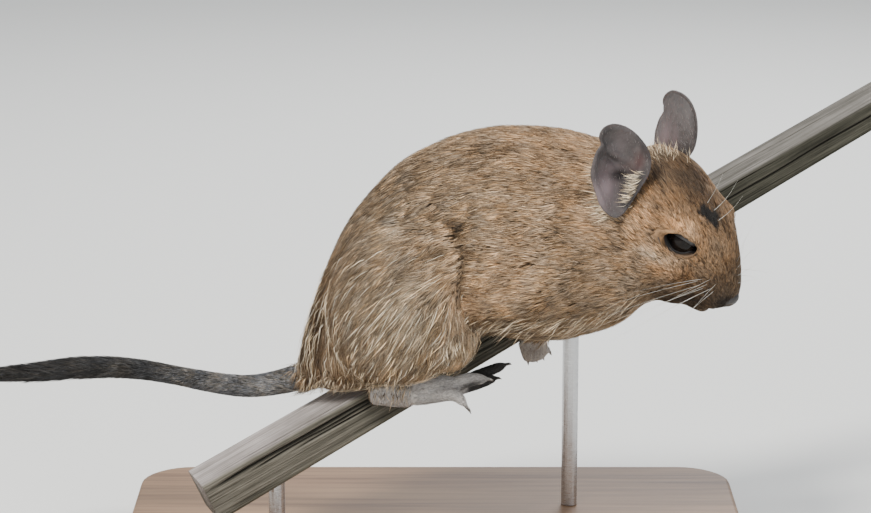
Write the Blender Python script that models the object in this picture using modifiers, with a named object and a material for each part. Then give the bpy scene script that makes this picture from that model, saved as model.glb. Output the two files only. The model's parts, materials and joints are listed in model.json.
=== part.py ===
"""A life-size degu crouching on a short length of weathered lath, held by a plain display stand.

Sizes are in millimetres and are turned into metres where a mesh is made.
X runs along the animal, Y runs away from its right side, Z is up, and the floor is Z = 0.
"""

import math
import random

import bmesh
import bpy
from mathutils import Matrix, Vector

MM = 0.001
GAP = 0.3
VOXEL = 0.8
SOFTENING = 22

# Body: each row is back x, back z, belly x, belly z, half width, middle y
TRUNK_ROWS = (
    (-41.6, 64.0, -37.0, 58.0, 5.0, 0.0),
    (-40.2, 73.0, -25.0, 57.0, 13.0, 0.0),
    (-36.4, 85.0, -10.0, 62.0, 20.0, 0.0),
    (-31.5, 98.2, 3.0, 69.0, 24.5, 0.0),
    (-25.6, 110.0, 11.0, 74.0, 27.0, -1.0),
    (-18.6, 118.9, 17.0, 75.5, 28.0, -1.0),
    (-10.7, 127.2, 22.0, 75.0, 28.5, -2.0),
    (1.4, 133.9, 27.0, 74.0, 28.5, -3.0),
    (13.4, 137.9, 31.0, 74.0, 28.0, -4.0),
    (25.5, 139.0, 35.0, 74.5, 27.0, -5.0),
    (37.5, 138.0, 42.0, 76.0, 25.5, -6.0),
    (49.5, 135.0, 52.0, 79.0, 23.0, -7.5),
    (58.0, 129.6, 61.0, 85.4, 20.0, -9.5),
    (65.0, 120.5, 67.0, 93.0, 13.0, -11.0),
)
ROW_STEPS = 2
RING_SIDES = 32
BACK_NARROWING = 0.14
BODY_TRIANGLES = 2400

# Soft masses over the trunk: middle from the body's middle line, radii, turn about Y in degrees
BODY_LEAN = -3.5
HAUNCH_MASS = ((-8.6, 13.5, 89.2), (23.0, 16.5, 27.0), 28.0)
KNEE_MASS = ((2.5, 16.0, 85.0), (11.5, 13.5, 17.6), -6.0)
SHOULDER_MASS = ((38.0, 11.0, 98.0), (16.0, 14.5, 22.0), 10.0)
NECK_MASSES = (
    ((56.0, -10.0, 109.0), (19.0, 17.5, 24.5)),
    ((66.0, -13.5, 107.0), (15.5, 16.0, 17.2)),
    ((71.5, -12.5, 94.6), (9.5, 8.5, 8.0)),
)

# Where the body is parted: side-view points above and below, and the regions of the upper limbs
HEAD_CUT = ((47.5, 136.0), (64.0, 84.0))
NECK_CUT = ((34.0, 136.0), (49.0, 76.0))
THIGH_REGION = ((-8.5, 27.0, 82.0), (25.0, 24.0, 31.0), 14.0)
ARM_REGION = ((36.0, 23.0, 86.0), (12.0, 17.0, 19.0), 10.0)
REGION_SIDES = 20

# Head: its middle at the level of the eyes, and its own forward and left directions
HEAD_MIDDLE = Vector((76.0, -14.0, 107.5))
HEAD_FORWARD = Vector((0.47, -0.213, -0.856))
HEAD_LEFT = Vector((0.616, 0.772, 0.146))
EYE_FROM_NOSE = 23.0
HEAD_TRIANGLES = 2300

# Head rows: distance behind the nose tip, lift of the middle, half width, half height above, below
HEAD_ROWS = (
    (0.9, -0.6, 2.6, 2.8, 2.4),
    (2.2, -0.8, 5.0, 4.9, 4.6),
    (4.5, -0.8, 7.4, 7.0, 7.2),
    (10.0, -0.2, 9.6, 9.2, 9.4),
    (16.0, 0.2, 11.6, 10.8, 11.3),
    (23.0, 0.2, 13.6, 11.8, 12.4),
    (31.0, 0.3, 14.2, 11.4, 12.6),
    (39.0, -0.5, 14.6, 10.6, 12.6),
    (46.0, -3.0, 12.8, 9.8, 13.0),
    (52.0, -4.0, 7.5, 6.0, 8.0),
)

# Soft masses of the face: behind the nose, left, up, then radii forward, left, up
FACE_MASSES = (
    ((16.0, 0.0, -6.5), (13.0, 8.5, 7.5)),
    ((27.0, 0.0, -5.5), (13.0, 12.5, 9.0)),
    ((6.5, 4.2, -1.6), (5.5, 4.4, 5.0)),
    ((6.5, -4.2, -1.6), (5.5, 4.4, 5.0)),
    ((5.4, 0.0, -8.8), (4.8, 4.0, 3.6)),
    ((10.0, 0.0, -10.0), (7.5, 5.5, 4.8)),
)

# Eyes and lids, in the head's own directions
EYE_RADIUS = 4.9
EYE_SIDE = 8.5
EYE_LIFT = 3.1
EYE_BACK = 24.6
GAZE = (0.26, 0.87, 0.36)
LID_THICKNESS = 1.0
LID_LENGTH = 9.4
LID_OPENING = 5.6
LID_SLANT = 26.0
LID_SIDES = 16

# Nose, mouth and nostrils
NOSE_PAD = ((1.9, 0.0, 1.0), (2.0, 3.2, 2.5))
MOUTH_DROP = 4.6
MOUTH_FALL = 2.2
MOUTH_BACK = 11.5
MOUTH_GROOVE = 0.5
NOSTRIL_PLACE = (0.2, 1.8, 0.9)
NOSTRIL_RADIUS = 0.7

# Ears: base point, tip point, and the way that the hollow faces
EAR_WIDTH = 18.0
EAR_CUP = 5.0
EAR_THICKNESS = 0.9
EAR_MIDDLE = 0.56
EAR_SIDES = 28
EAR_RINGS = 4
EAR_NOTCH = (38.0, 13.0, 0.30)
RIGHT_EAR = ((53.4, -29.9, 116.6), (52.4, -27.7, 143.8), (0.42, -0.87, 0.25))
LEFT_EAR = ((73.0, -3.5, 121.5), (71.3, 3.6, 148.4), (0.74, 0.64, -0.12))

# Hind feet: middle lines of the sole, and of each toe with its claw, as x, y, z and radius
RIGHT_SOLE = ((-19.0, -12.5, 59.0, 3.0), (-10.0, -13.5, 59.0, 3.6), (-2.0, -15.0, 60.6, 4.0), (5.0, -15.8, 62.0, 3.6))
RIGHT_TOES = (
    ((-1.0, -17.0, 59.5, 2.2), (5.5, -20.5, 61.0, 1.9), (8.3, -22.0, 58.6, 1.3)),
    ((3.0, -16.0, 61.0, 2.4), (9.0, -18.0, 64.6, 2.1), (14.3, -17.5, 64.8, 1.5)),
    ((4.0, -13.5, 60.0, 2.3), (12.0, -8.0, 60.6, 1.9), (17.5, -4.0, 61.0, 1.4)),
    ((3.0, -11.5, 60.0, 2.2), (13.0, -3.0, 61.8, 1.8), (20.5, 1.5, 63.6, 1.4)),
)
CLAW_LENGTH = 3.6
CLAW_RADIUS = 0.75
FOOT_VOXEL = 0.5
FOOT_TRIANGLES = 640

# The left hind foot lies on the perch: along it, across it and over it
LEFT_SOLE = ((20.0, 3.5, 3.6, 3.0), (29.0, 4.5, 3.8, 3.4), (38.0, 5.0, 3.6, 3.2))
LEFT_TOES = (
    ((36.0, 2.6, 2.8, 2.0), (44.0, 2.6, 2.6, 1.8), (49.5, 2.6, 2.2, 1.3)),
    ((36.0, 5.0, 2.8, 2.0), (45.0, 6.4, 2.6, 1.8), (51.5, 8.0, 1.9, 1.3)),
    ((35.0, 7.0, 2.8, 2.0), (43.0, 9.8, 1.8, 1.8), (48.0, 11.2, -1.4, 1.3)),
    ((32.0, 7.6, 2.6, 1.9), (38.0, 10.6, 1.0, 1.7), (41.0, 11.2, -2.2, 1.2)),
)

# Forepaws: forearm line, then fingers
RIGHT_FOREARM = ((34.0, -11.0, 88.0, 5.0), (31.0, -6.0, 80.0, 4.2), (29.8, -2.5, 74.5, 4.0), (29.5, 0.0, 71.0, 3.4))
RIGHT_FINGERS = (
    ((26.6, -1.0, 72.5, 1.7), (27.4, 1.0, 67.6, 1.5), (28.0, 5.0, 64.6, 1.1)),
    ((28.6, -1.6, 72.0, 1.7), (29.2, 0.6, 66.8, 1.5), (30.4, 5.0, 64.8, 1.1)),
    ((30.4, -1.6, 72.5, 1.7), (31.0, 0.8, 67.6, 1.5), (32.4, 5.4, 65.4, 1.1)),
    ((31.8, -0.6, 73.5, 1.6), (32.6, 1.6, 69.4, 1.4), (34.4, 6.0, 67.0, 1.0)),
)
LEFT_FOREARM = ((64.0, -6.0, 12.0, 5.0), (67.0, -1.0, 8.0, 4.0), (71.0, 2.0, 4.2, 3.4))
LEFT_FINGERS = (
    ((69.0, 0.8, 3.0, 1.7), (75.0, 0.2, 2.4, 1.5), (79.0, 0.0, 1.9, 1.1)),
    ((70.0, 2.0, 3.0, 1.7), (76.5, 2.8, 2.4, 1.5), (80.5, 3.6, 1.9, 1.1)),
    ((70.0, 3.4, 3.0, 1.7), (76.0, 5.6, 2.4, 1.5), (79.5, 7.4, 1.7, 1.1)),
    ((69.0, 4.4, 3.0, 1.6), (73.5, 7.8, 2.2, 1.4), (76.0, 10.6, 0.4, 1.0)),
)
PAW_TRIANGLES = 400

# Tail: middle line as x, y, z and radius, and the locks of its brush
TAIL_LINE = (
    (-36.0, 0.0, 62.0, 4.6),
    (-42.0, 0.0, 60.0, 4.0),
    (-50.0, 0.0, 58.0, 3.5),
    (-58.5, 0.0, 57.0, 3.3),
    (-72.5, 0.0, 59.5, 3.1),
    (-88.0, 0.0, 63.0, 2.9),
    (-103.0, 0.0, 64.0, 2.6),
    (-118.5, 0.0, 62.0, 2.2),
    (-130.0, 0.0, 61.0, 1.6),
    (-136.0, 0.0, 61.0, 0.8),
)
TAIL_CUTS = (-66.0, -92.0)
TAIL_SIDES = 14
BRUSH_LOCKS = 28
BRUSH_SEED = 11
BRUSH_SPAN = (0.61, 0.985)
LOCK_LENGTH = 11.0
LOCK_WIDTH = 1.8
LOCK_THICKNESS = 0.8
LOCK_LEAN = 0.32

# Perch: a lath that climbs to the right and runs away from the animal's right side
LATH_WIDTH = 17.0
LATH_THICKNESS = 13.4
LATH_TAPER = 5.2
LATH_CORNER = 1.2
LATH_WAVE = 0.25
LATH_PITCH = 24.75
LATH_TURN = 20.0
LATH_POINT = Vector((-20.0, 0.0, 60.0))
LATH_BACK = 61.0
LATH_FRONT = 205.0
LATH_STEPS = 12

# Stand
BASE_SIZE = (190.0, 122.0, 12.0)
BASE_CORNER = 16.0
BASE_EDGE = 1.2
ROD_RADIUS = 2.5
ROD_SIDES = 20
ROD_PLACES = {"stand_rod_back": -48.0, "stand_rod_front": 42.0}
FAR = 400.0


def clear_scene():
    for item in list(bpy.data.objects):
        bpy.data.objects.remove(item, do_unlink=True)


def make_collection(name, hidden=False):
    group = bpy.data.collections.new(name)
    bpy.context.scene.collection.children.link(group)
    group.hide_render = hidden
    return group


def make_material(name, colour, roughness, metallic=0.0):
    material = bpy.data.materials.new(name)
    material.use_nodes = True
    shader = material.node_tree.nodes["Principled BSDF"]
    shader.inputs["Base Color"].default_value = (*colour, 1.0)
    shader.inputs["Roughness"].default_value = roughness
    shader.inputs["Metallic"].default_value = metallic
    return material


def link_mesh(name, mesh, group):
    item = bpy.data.objects.new(name, mesh)
    group.objects.link(item)
    return item


def object_from_bmesh(name, bm, group):
    bmesh.ops.recalc_face_normals(bm, faces=bm.faces)
    mesh = bpy.data.meshes.new(name)
    bm.to_mesh(mesh)
    bm.free()
    return link_mesh(name, mesh, group)


def drop(item):
    bpy.data.objects.remove(item, do_unlink=True)


def apply_modifiers(item):
    """Give an object its evaluated mesh, and drop its modifiers."""
    graph = bpy.context.evaluated_depsgraph_get()
    mesh = bpy.data.meshes.new_from_object(item.evaluated_get(graph))
    item.modifiers.clear()
    item.data = mesh
    return item


def boolean(item, tool, operation, solver="EXACT"):
    change = item.modifiers.new(operation.lower(), "BOOLEAN")
    change.operation = operation
    change.solver = solver
    change.object = tool
    return apply_modifiers(item)


def cut(item, *cutters):
    for cutter in cutters:
        boolean(item, cutter, "DIFFERENCE")
    return keep_largest(item)


def fuse(item, pieces, solver="EXACT"):
    """Join closed pieces to an object with one union, and keep one closed surface."""
    group = make_collection(item.name + "_pieces", hidden=True)
    for piece in pieces:
        for old in list(piece.users_collection):
            old.objects.unlink(piece)
        group.objects.link(piece)
    change = item.modifiers.new("union", "BOOLEAN")
    change.operation = "UNION"
    change.operand_type = "COLLECTION"
    change.solver = solver
    change.collection = group
    apply_modifiers(item)
    for piece in pieces:
        drop(piece)
    bpy.data.collections.remove(group)
    return keep_largest(item)


def box_size(verts):
    low = [min(vert.co[axis] for vert in verts) for axis in range(3)]
    high = [max(vert.co[axis] for vert in verts) for axis in range(3)]
    return sum(high[axis] - low[axis] for axis in range(3))


def keep_largest(item):
    """Keep the closed surface with the largest box, and drop loose scraps."""
    bm = bmesh.new()
    bm.from_mesh(item.data)
    seen = set()
    pieces = []
    for start in bm.verts:
        if start in seen:
            continue
        piece = [start]
        seen.add(start)
        for vert in piece:
            for edge in vert.link_edges:
                other = edge.other_vert(vert)
                if other not in seen:
                    seen.add(other)
                    piece.append(other)
        pieces.append(piece)
    pieces.sort(key=box_size)
    for piece in pieces[:-1]:
        bmesh.ops.delete(bm, geom=piece, context="VERTS")
    bmesh.ops.triangulate(bm, faces=bm.faces)
    bm.to_mesh(item.data)
    bm.free()
    return item


def copy_object(item, name, group, grow=0.0):
    """A copy of an object, its surface moved outwards by a small distance."""
    copy = link_mesh(name, item.data.copy(), group)
    if grow:
        normals = [vert.normal.copy() for vert in copy.data.vertices]
        for vert, normal in zip(copy.data.vertices, normals):
            vert.co += normal * (grow * MM)
    return copy


def thinned(item, triangles):
    """Reduce a body to about the given number of triangles."""
    keep_largest(item)
    count = len(item.data.polygons)
    if count > triangles:
        change = item.modifiers.new("decimate", "DECIMATE")
        change.ratio = triangles / count
        apply_modifiers(item)
    return item


def remeshed(item, voxel, rounds):
    fine = item.modifiers.new("remesh", "REMESH")
    fine.mode = "VOXEL"
    fine.voxel_size = voxel * MM
    soft = item.modifiers.new("smooth", "SMOOTH")
    soft.factor = 0.5
    soft.iterations = rounds
    return apply_modifiers(item)


def joined(name, items, group):
    bm = bmesh.new()
    for item in items:
        bm.from_mesh(item.data)
        drop(item)
    mesh = bpy.data.meshes.new(name)
    bm.to_mesh(mesh)
    bm.free()
    return link_mesh(name, mesh, group)


def smooth_value(rows, place):
    """Read a row of numbers between the given rows, on a smooth curve through them."""
    last = len(rows) - 1
    index = min(int(place), last - 1)
    t = place - index
    before = rows[max(index - 1, 0)]
    after = rows[min(index + 2, last)]
    values = []
    for a, b, c, d in zip(before, rows[index], rows[index + 1], after):
        slope_in = (c - a) / 2
        slope_out = (d - b) / 2
        values.append(
            b * (2 * t**3 - 3 * t**2 + 1)
            + slope_in * (t**3 - 2 * t**2 + t)
            + c * (3 * t**2 - 2 * t**3)
            + slope_out * (t**3 - t**2)
        )
    return values


def smooth_rows(rows, steps):
    count = (len(rows) - 1) * steps
    return [smooth_value(rows, index / steps) for index in range(count + 1)]


def loft(name, rings, group):
    """Join rings of points into one closed body, with a point in the middle of each end."""
    bm = bmesh.new()
    loops = [[bm.verts.new(point * MM) for point in ring] for ring in rings]
    sides = len(loops[0])
    for near, far in zip(loops, loops[1:]):
        for side in range(sides):
            after = (side + 1) % sides
            bm.faces.new((near[side], near[after], far[after], far[side]))
    for loop, ring in ((loops[0], rings[0]), (loops[-1], rings[-1])):
        tip = bm.verts.new(sum(ring, Vector()) / sides * MM)
        for side in range(sides):
            bm.faces.new((loop[side], loop[(side + 1) % sides], tip))
    bmesh.ops.triangulate(bm, faces=bm.faces)
    return object_from_bmesh(name, bm, group)


def ellipsoid(name, middle, radii, turn, group, sides=32):
    bm = bmesh.new()
    bmesh.ops.create_uvsphere(bm, u_segments=sides, v_segments=sides * 5 // 8, radius=1.0)
    scale = Matrix.Diagonal((radii[0] * MM, radii[1] * MM, radii[2] * MM, 1.0))
    matrix = Matrix.Translation(Vector(middle) * MM) @ turn.to_4x4() @ scale
    bmesh.ops.transform(bm, matrix=matrix, verts=bm.verts)
    return object_from_bmesh(name, bm, group)


def half_space(name, point, normal, group):
    """A large block whose one face lies on a plane, on the side that the normal points to."""
    bm = bmesh.new()
    bmesh.ops.create_cube(bm, size=FAR * MM)
    turn = Vector((0.0, 0.0, 1.0)).rotation_difference(normal).to_matrix().to_4x4()
    place = Matrix.Translation((point + normal * (FAR / 2)) * MM)
    bmesh.ops.transform(bm, matrix=place @ turn, verts=bm.verts)
    return object_from_bmesh(name, bm, group)


def head_left():
    forward = HEAD_FORWARD.normalized()
    return (HEAD_LEFT - forward * HEAD_LEFT.dot(forward)).normalized()


def head_up():
    return HEAD_FORWARD.normalized().cross(head_left()).normalized()


def head_point(behind_nose, left, up):
    """A point given from the nose tip: distance behind it, to the animal's left, and up."""
    forward = HEAD_FORWARD.normalized()
    return HEAD_MIDDLE + forward * (EYE_FROM_NOSE - behind_nose) + head_left() * left + head_up() * up


def head_direction(forward, left, up):
    return (HEAD_FORWARD.normalized() * forward + head_left() * left + head_up() * up).normalized()


def head_turn():
    """The turn that takes X, Y and Z to the head's forward, left and up."""
    return Matrix((HEAD_FORWARD.normalized(), head_left(), head_up())).transposed()


def lath_axes():
    pitch = math.radians(LATH_PITCH)
    turn = math.radians(LATH_TURN)
    along = Vector((math.cos(pitch) * math.cos(turn), math.cos(pitch) * math.sin(turn), math.sin(pitch)))
    across = Vector((-math.sin(turn), math.cos(turn), 0.0))
    return along, across, along.cross(across)


def lath_point(along, across, over):
    """A point of the perch: along it, across its width, and over its top face."""
    axes = lath_axes()
    return LATH_POINT + axes[0] * along + axes[1] * across + axes[2] * over


def on_lath(line):
    return tuple((*lath_point(along, across, over), radius) for along, across, over, radius in line)


def trunk(group):
    rings = []
    for row in smooth_rows(TRUNK_ROWS, ROW_STEPS):
        back = Vector((row[0], row[5], row[1]))
        belly = Vector((row[2], row[5], row[3]))
        middle = (back + belly) / 2
        reach = (back - belly) / 2
        ring = []
        for side in range(RING_SIDES):
            angle = 2 * math.pi * side / RING_SIDES
            width = row[4] * (1 - BACK_NARROWING * math.sin(angle))
            ring.append(middle + reach * math.sin(angle) + Vector((0, width * math.cos(angle), 0)))
        rings.append(ring)
    return loft("trunk", rings, group)


def skull(group):
    rings = []
    for row in smooth_rows(HEAD_ROWS, ROW_STEPS):
        ring = []
        for side in range(RING_SIDES):
            angle = 2 * math.pi * side / RING_SIDES
            height = row[3] if math.sin(angle) > 0 else row[4]
            ring.append(head_point(row[0], row[2] * math.cos(angle), row[1] + height * math.sin(angle)))
        rings.append(ring)
    return loft("skull", rings, group)


def side_mass(name, mass, side, group, grow=0.0):
    """An ellipsoid set to one side of the body's middle line."""
    middle, radii, turn = mass
    place = (middle[0], side * middle[1] + BODY_LEAN, middle[2])
    radii = [radius + grow for radius in radii]
    return ellipsoid(name, place, radii, Matrix.Rotation(math.radians(turn), 3, "Y"), group, REGION_SIDES)


def head_mass(name, mass, group, sides=16):
    place, radii = mass
    return ellipsoid(name, head_point(*place), radii, head_turn(), group, sides)


def limb(name, line, group, sides=12, steps=3):
    """A tapering limb through points given as x, y, z and radius."""
    rows = smooth_rows(line, steps)
    points = [Vector(row[:3]) for row in rows]
    across = None
    rings = []
    for index, row in enumerate(rows):
        ahead = points[min(index + 1, len(points) - 1)]
        behind = points[max(index - 1, 0)]
        along = (ahead - behind).normalized()
        if across is None:
            across = along.cross(Vector((0.1, 0.3, 1.0)))
        across = (across - along * across.dot(along)).normalized()
        over = across.cross(along)
        ring = []
        for side in range(sides):
            angle = 2 * math.pi * side / sides
            ring.append(points[index] + (across * math.cos(angle) + over * math.sin(angle)) * row[3])
        rings.append(ring)
    return loft(name, rings, group)


def whole_body(tools):
    """The furred head, neck, trunk and upper limbs as one soft form."""
    masses = [trunk(tools), skull(tools)]
    for middle, radii in NECK_MASSES:
        masses.append(ellipsoid("neck_mass", middle, radii, Matrix.Identity(3), tools))
    for mass in FACE_MASSES:
        masses.append(head_mass("face_mass", mass, tools))
    for side in (-1, 1):
        for mass in (HAUNCH_MASS, KNEE_MASS, SHOULDER_MASS):
            masses.append(side_mass("side_mass", mass, side, tools))
    return remeshed(joined("body", masses, tools), VOXEL, SOFTENING)


def parting(ends):
    """A plane across the body through two points of its side view, with its normal to the front."""
    upper = Vector((ends[0][0], 0.0, ends[0][1]))
    lower = Vector((ends[1][0], 0.0, ends[1][1]))
    run = (lower - upper).normalized()
    return upper, Vector((-run.z, 0.0, run.x))


def lids(head, side, tools):
    """Round off the head over one eye, hollow it for the ball and open the lids."""
    middle = head_point(EYE_BACK, side * EYE_SIDE, EYE_LIFT)
    gaze = head_direction(GAZE[0], side * GAZE[1], GAZE[2])
    plain = Matrix.Identity(3)
    inner = EYE_RADIUS + GAP
    outer = inner + LID_THICKNESS
    fuse(head, [ellipsoid("lid", middle, [outer] * 3, plain, tools, LID_SIDES)])
    forward = HEAD_FORWARD.normalized()
    forward = (forward - gaze * forward.dot(gaze)).normalized()
    long_way = Matrix.Rotation(-side * math.radians(LID_SLANT), 3, gaze) @ forward
    short_way = gaze.cross(long_way)
    rings = []
    for reach in (1.0, outer + 3.0):
        ring = []
        for step in range(16):
            angle = 2 * math.pi * step / 16
            wide = math.cos(angle) * LID_LENGTH / 2
            high = math.sin(angle) * abs(math.sin(angle)) ** 0.4 * LID_OPENING / 2
            ring.append(middle + gaze * reach + long_way * wide + short_way * high)
        rings.append(ring)
    opening = loft("opening", rings, tools)
    ball = ellipsoid("socket", middle, [inner] * 3, plain, tools, LID_SIDES)
    cut(head, ball, opening)
    drop(opening)
    drop(ball)
    return middle


def mouth(head, tools):
    """Cut the line of the mouth along the muzzle, with the cleft up to the nose."""
    sides = 8
    for line in (mouth_line(head), cleft_line(head)):
        rows = [(*point, MOUTH_GROOVE) for point in line]
        groove = limb("groove", rows, tools, sides, 1)
        cut(head, groove)
        drop(groove)


def on_surface(item, point):
    return item.closest_point_on_mesh(point * MM)[1] / MM


def mouth_line(head):
    points = []
    steps = 8
    for step in range(-steps, steps + 1):
        share = step / steps
        row = smooth_value(HEAD_ROWS, 1.4 + 1.9 * abs(share))
        place = head_point(
            1.2 + MOUTH_BACK * abs(share) ** 1.6,
            row[2] * math.copysign(abs(share) ** 0.7, share),
            -MOUTH_DROP - MOUTH_FALL * abs(share),
        )
        points.append(on_surface(head, place))
    return points


def cleft_line(head):
    return [on_surface(head, head_point(0.6, 0.0, up)) for up in (-1.2, -2.4, -3.6, -4.8)]


def nose(head, tools):
    fuse(head, [head_mass("nose_pad", NOSE_PAD, tools)])
    for side in (-1, 1):
        behind, left, up = NOSTRIL_PLACE
        place = on_surface(head, head_point(behind, side * left, up))
        pit = ellipsoid("nostril", place, [NOSTRIL_RADIUS] * 3, head_turn(), tools, 8)
        cut(head, pit)
        drop(pit)


def eye(name, middle, group):
    bm = bmesh.new()
    bmesh.ops.create_uvsphere(bm, u_segments=16, v_segments=10, radius=EYE_RADIUS * MM)
    bmesh.ops.translate(bm, vec=middle * MM, verts=bm.verts)
    bmesh.ops.triangulate(bm, faces=bm.faces)
    return object_from_bmesh(name, bm, group)


def ear(name, ends, rear_side, group):
    """A cupped, notched shell between its base and its tip."""
    base, tip, facing = (Vector(value) for value in ends)
    up = (tip - base).normalized()
    length = (tip - base).length
    facing = (facing - up * facing.dot(up)).normalized()
    rear = up.cross(facing) * rear_side
    centre = base + up * length * EAR_MIDDLE
    bm = bmesh.new()
    middle = bm.verts.new((centre - facing * EAR_CUP) * MM)
    loops = []
    for ring in range(1, EAR_RINGS + 1):
        share = ring / EAR_RINGS
        loop = []
        for side in range(EAR_SIDES):
            angle = 2 * math.pi * side / EAR_SIDES
            away = (math.degrees(angle) - EAR_NOTCH[0]) / EAR_NOTCH[1]
            reach = share * (1 - EAR_NOTCH[2] * math.exp(-away * away) * share)
            rise = math.sin(angle)
            tall = length * ((1 - EAR_MIDDLE) if rise > 0 else EAR_MIDDLE)
            narrow = 1 - 0.42 * max(-rise, 0.0) ** 2
            depth = EAR_CUP * (1 - reach * reach) * (1 - 0.35 * rise * share)
            point = (
                centre
                + rear * (math.cos(angle) * reach * narrow * EAR_WIDTH / 2)
                + up * (rise * reach * tall)
                - facing * depth
            )
            loop.append(bm.verts.new(point * MM))
        loops.append(loop)
    for side in range(EAR_SIDES):
        after = (side + 1) % EAR_SIDES
        bm.faces.new((middle, loops[0][side], loops[0][after]))
        for near, far in zip(loops, loops[1:]):
            bm.faces.new((near[side], far[side], far[after]))
            bm.faces.new((near[side], far[after], near[after]))
    shell = object_from_bmesh(name, bm, group)
    wall = shell.modifiers.new("wall", "SOLIDIFY")
    wall.thickness = EAR_THICKNESS * MM
    wall.offset = 0.0
    apply_modifiers(shell)
    bm = bmesh.new()
    bm.from_mesh(shell.data)
    bmesh.ops.recalc_face_normals(bm, faces=bm.faces)
    bm.to_mesh(shell.data)
    bm.free()
    return shell


def claw(line, group):
    """A short curved claw beyond the last point of a toe."""
    end = Vector(line[-1][:3])
    along = (end - Vector(line[-2][:3])).normalized()
    down = Vector((0.0, 0.0, -1.0))
    radius = CLAW_RADIUS
    points = (
        (*(end - along * 1.4), radius),
        (*(end + along * (0.45 * CLAW_LENGTH)), radius * 0.8),
        (*(end + along * (0.85 * CLAW_LENGTH) + down * 0.5), radius * 0.35),
    )
    return limb("claw", points, group, 5, 1)


def extremity(name, stem, digits, triangles, group, tools):
    """A foot or paw: a stem with its digits made one soft form, then the claws."""
    pieces = [limb("stem", stem, tools)]
    for digit in digits:
        pieces.append(limb("digit", digit, tools))
    item = remeshed(joined(name, pieces, tools), FOOT_VOXEL, 3)
    thinned(item, triangles)
    tools.objects.unlink(item)
    group.objects.link(item)
    return fuse(item, [claw(digit, tools) for digit in digits])


def lock(name, root, along, outward, length, tools):
    """One flat, tapering lock that leaves its root and bends back along the lie."""
    across = along.cross(outward).normalized()
    rings = []
    steps = 3
    for step in range(steps + 1):
        share = step / steps
        lift = LOCK_LEAN * length * (share - 0.35 * share * share)
        point = root + along * (length * share) + outward * lift
        width = LOCK_WIDTH * (1 - 0.8 * share**1.6) / 2
        thick = LOCK_THICKNESS * (1 - 0.6 * share) / 2
        rings.append((point + across * width, point + outward * thick, point - across * width, point - outward * thick))
    return loft(name, rings, tools)


def brush_locks(rows, tools):
    """Locks all round the end of the tail, from its rings of middle points and radii."""
    draw = random.Random(BRUSH_SEED)
    locks = []
    for index in range(BRUSH_LOCKS):
        share = BRUSH_SPAN[0] + (BRUSH_SPAN[1] - BRUSH_SPAN[0]) * (index / (BRUSH_LOCKS - 1)) ** 0.9
        row = smooth_value(rows, share * (len(rows) - 1))
        ahead = smooth_value(rows, min(share + 0.01, 1.0) * (len(rows) - 1))
        along = (Vector(ahead[:3]) - Vector(row[:3])).normalized()
        angle = index * 2.4 + draw.uniform(-0.3, 0.3)
        side = along.cross(Vector((0.0, 0.0, 1.0))).normalized()
        outward = side * math.cos(angle) + side.cross(along) * math.sin(angle)
        root = Vector(row[:3]) + outward * (row[3] * 0.55)
        length = LOCK_LENGTH * draw.uniform(0.8, 1.1) * (1.0 - 0.35 * max(share - 0.8, 0.0) / 0.2)
        locks.append(lock("lock", root, along, outward, length, tools))
    return locks


def tail(names, body_cutter, parts, tools):
    """The tail in three lengths, the last with its brush of locks."""
    whole = limb("tail", TAIL_LINE, tools, TAIL_SIDES, 3)
    cut(whole, body_cutter)
    forward = Vector((1.0, 0.0, 0.0))
    bounds = [FAR, *TAIL_CUTS, -FAR]
    pieces = []
    for index, name in enumerate(names):
        piece = copy_object(whole, name, parts)
        if bounds[index] < FAR:
            ahead = half_space("ahead", Vector((bounds[index] - GAP / 2, 0.0, 60.0)), forward, tools)
            cut(piece, ahead)
            drop(ahead)
        if bounds[index + 1] > -FAR:
            behind = half_space("behind", Vector((bounds[index + 1] + GAP / 2, 0.0, 60.0)), -forward, tools)
            cut(piece, behind)
            drop(behind)
        pieces.append(piece)
    drop(whole)
    fuse(pieces[-1], brush_locks(TAIL_LINE, tools), "MANIFOLD")
    return pieces


def lath(name, group, grow=0.0):
    """The perch, thinner towards its far end, with small worn corners."""
    rings = []
    length = LATH_BACK + LATH_FRONT
    for step in range(LATH_STEPS + 1):
        share = step / LATH_STEPS
        place = -LATH_BACK - grow + (length + 2 * grow) * share
        half = LATH_WIDTH / 2 + LATH_WAVE * math.sin(share * 19.0) + grow
        thick = LATH_THICKNESS - LATH_TAPER * share + LATH_WAVE * math.sin(share * 29.0) + 2 * grow
        outline = (
            (half - LATH_CORNER, 0.0),
            (half, -LATH_CORNER),
            (half, LATH_CORNER - thick),
            (half - LATH_CORNER, -thick),
            (LATH_CORNER - half, -thick),
            (-half, LATH_CORNER - thick),
            (-half, -LATH_CORNER),
            (LATH_CORNER - half, 0.0),
        )
        rings.append([lath_point(place, across, over + grow) for across, over in outline])
    return loft(name, rings, group)


def stand_base(name, group):
    bm = bmesh.new()
    bmesh.ops.create_cube(bm, size=1.0)
    scale = Matrix.Diagonal((BASE_SIZE[0] * MM, BASE_SIZE[1] * MM, BASE_SIZE[2] * MM, 1.0))
    place = Matrix.Translation((0.0, 0.0, BASE_SIZE[2] / 2 * MM))
    bmesh.ops.transform(bm, matrix=place @ scale, verts=bm.verts)
    upright = [edge for edge in bm.edges if abs(edge.verts[0].co.z - edge.verts[1].co.z) > BASE_SIZE[2] / 2 * MM]
    bmesh.ops.bevel(bm, geom=upright, offset=BASE_CORNER * MM, segments=8, profile=0.5, affect="EDGES")
    top = [edge for edge in bm.edges if min(vert.co.z for vert in edge.verts) > (BASE_SIZE[2] - 0.01) * MM]
    bmesh.ops.bevel(bm, geom=top, offset=BASE_EDGE * MM, segments=2, profile=0.5, affect="EDGES")
    bmesh.ops.triangulate(bm, faces=bm.faces)
    return object_from_bmesh(name, bm, group)


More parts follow.
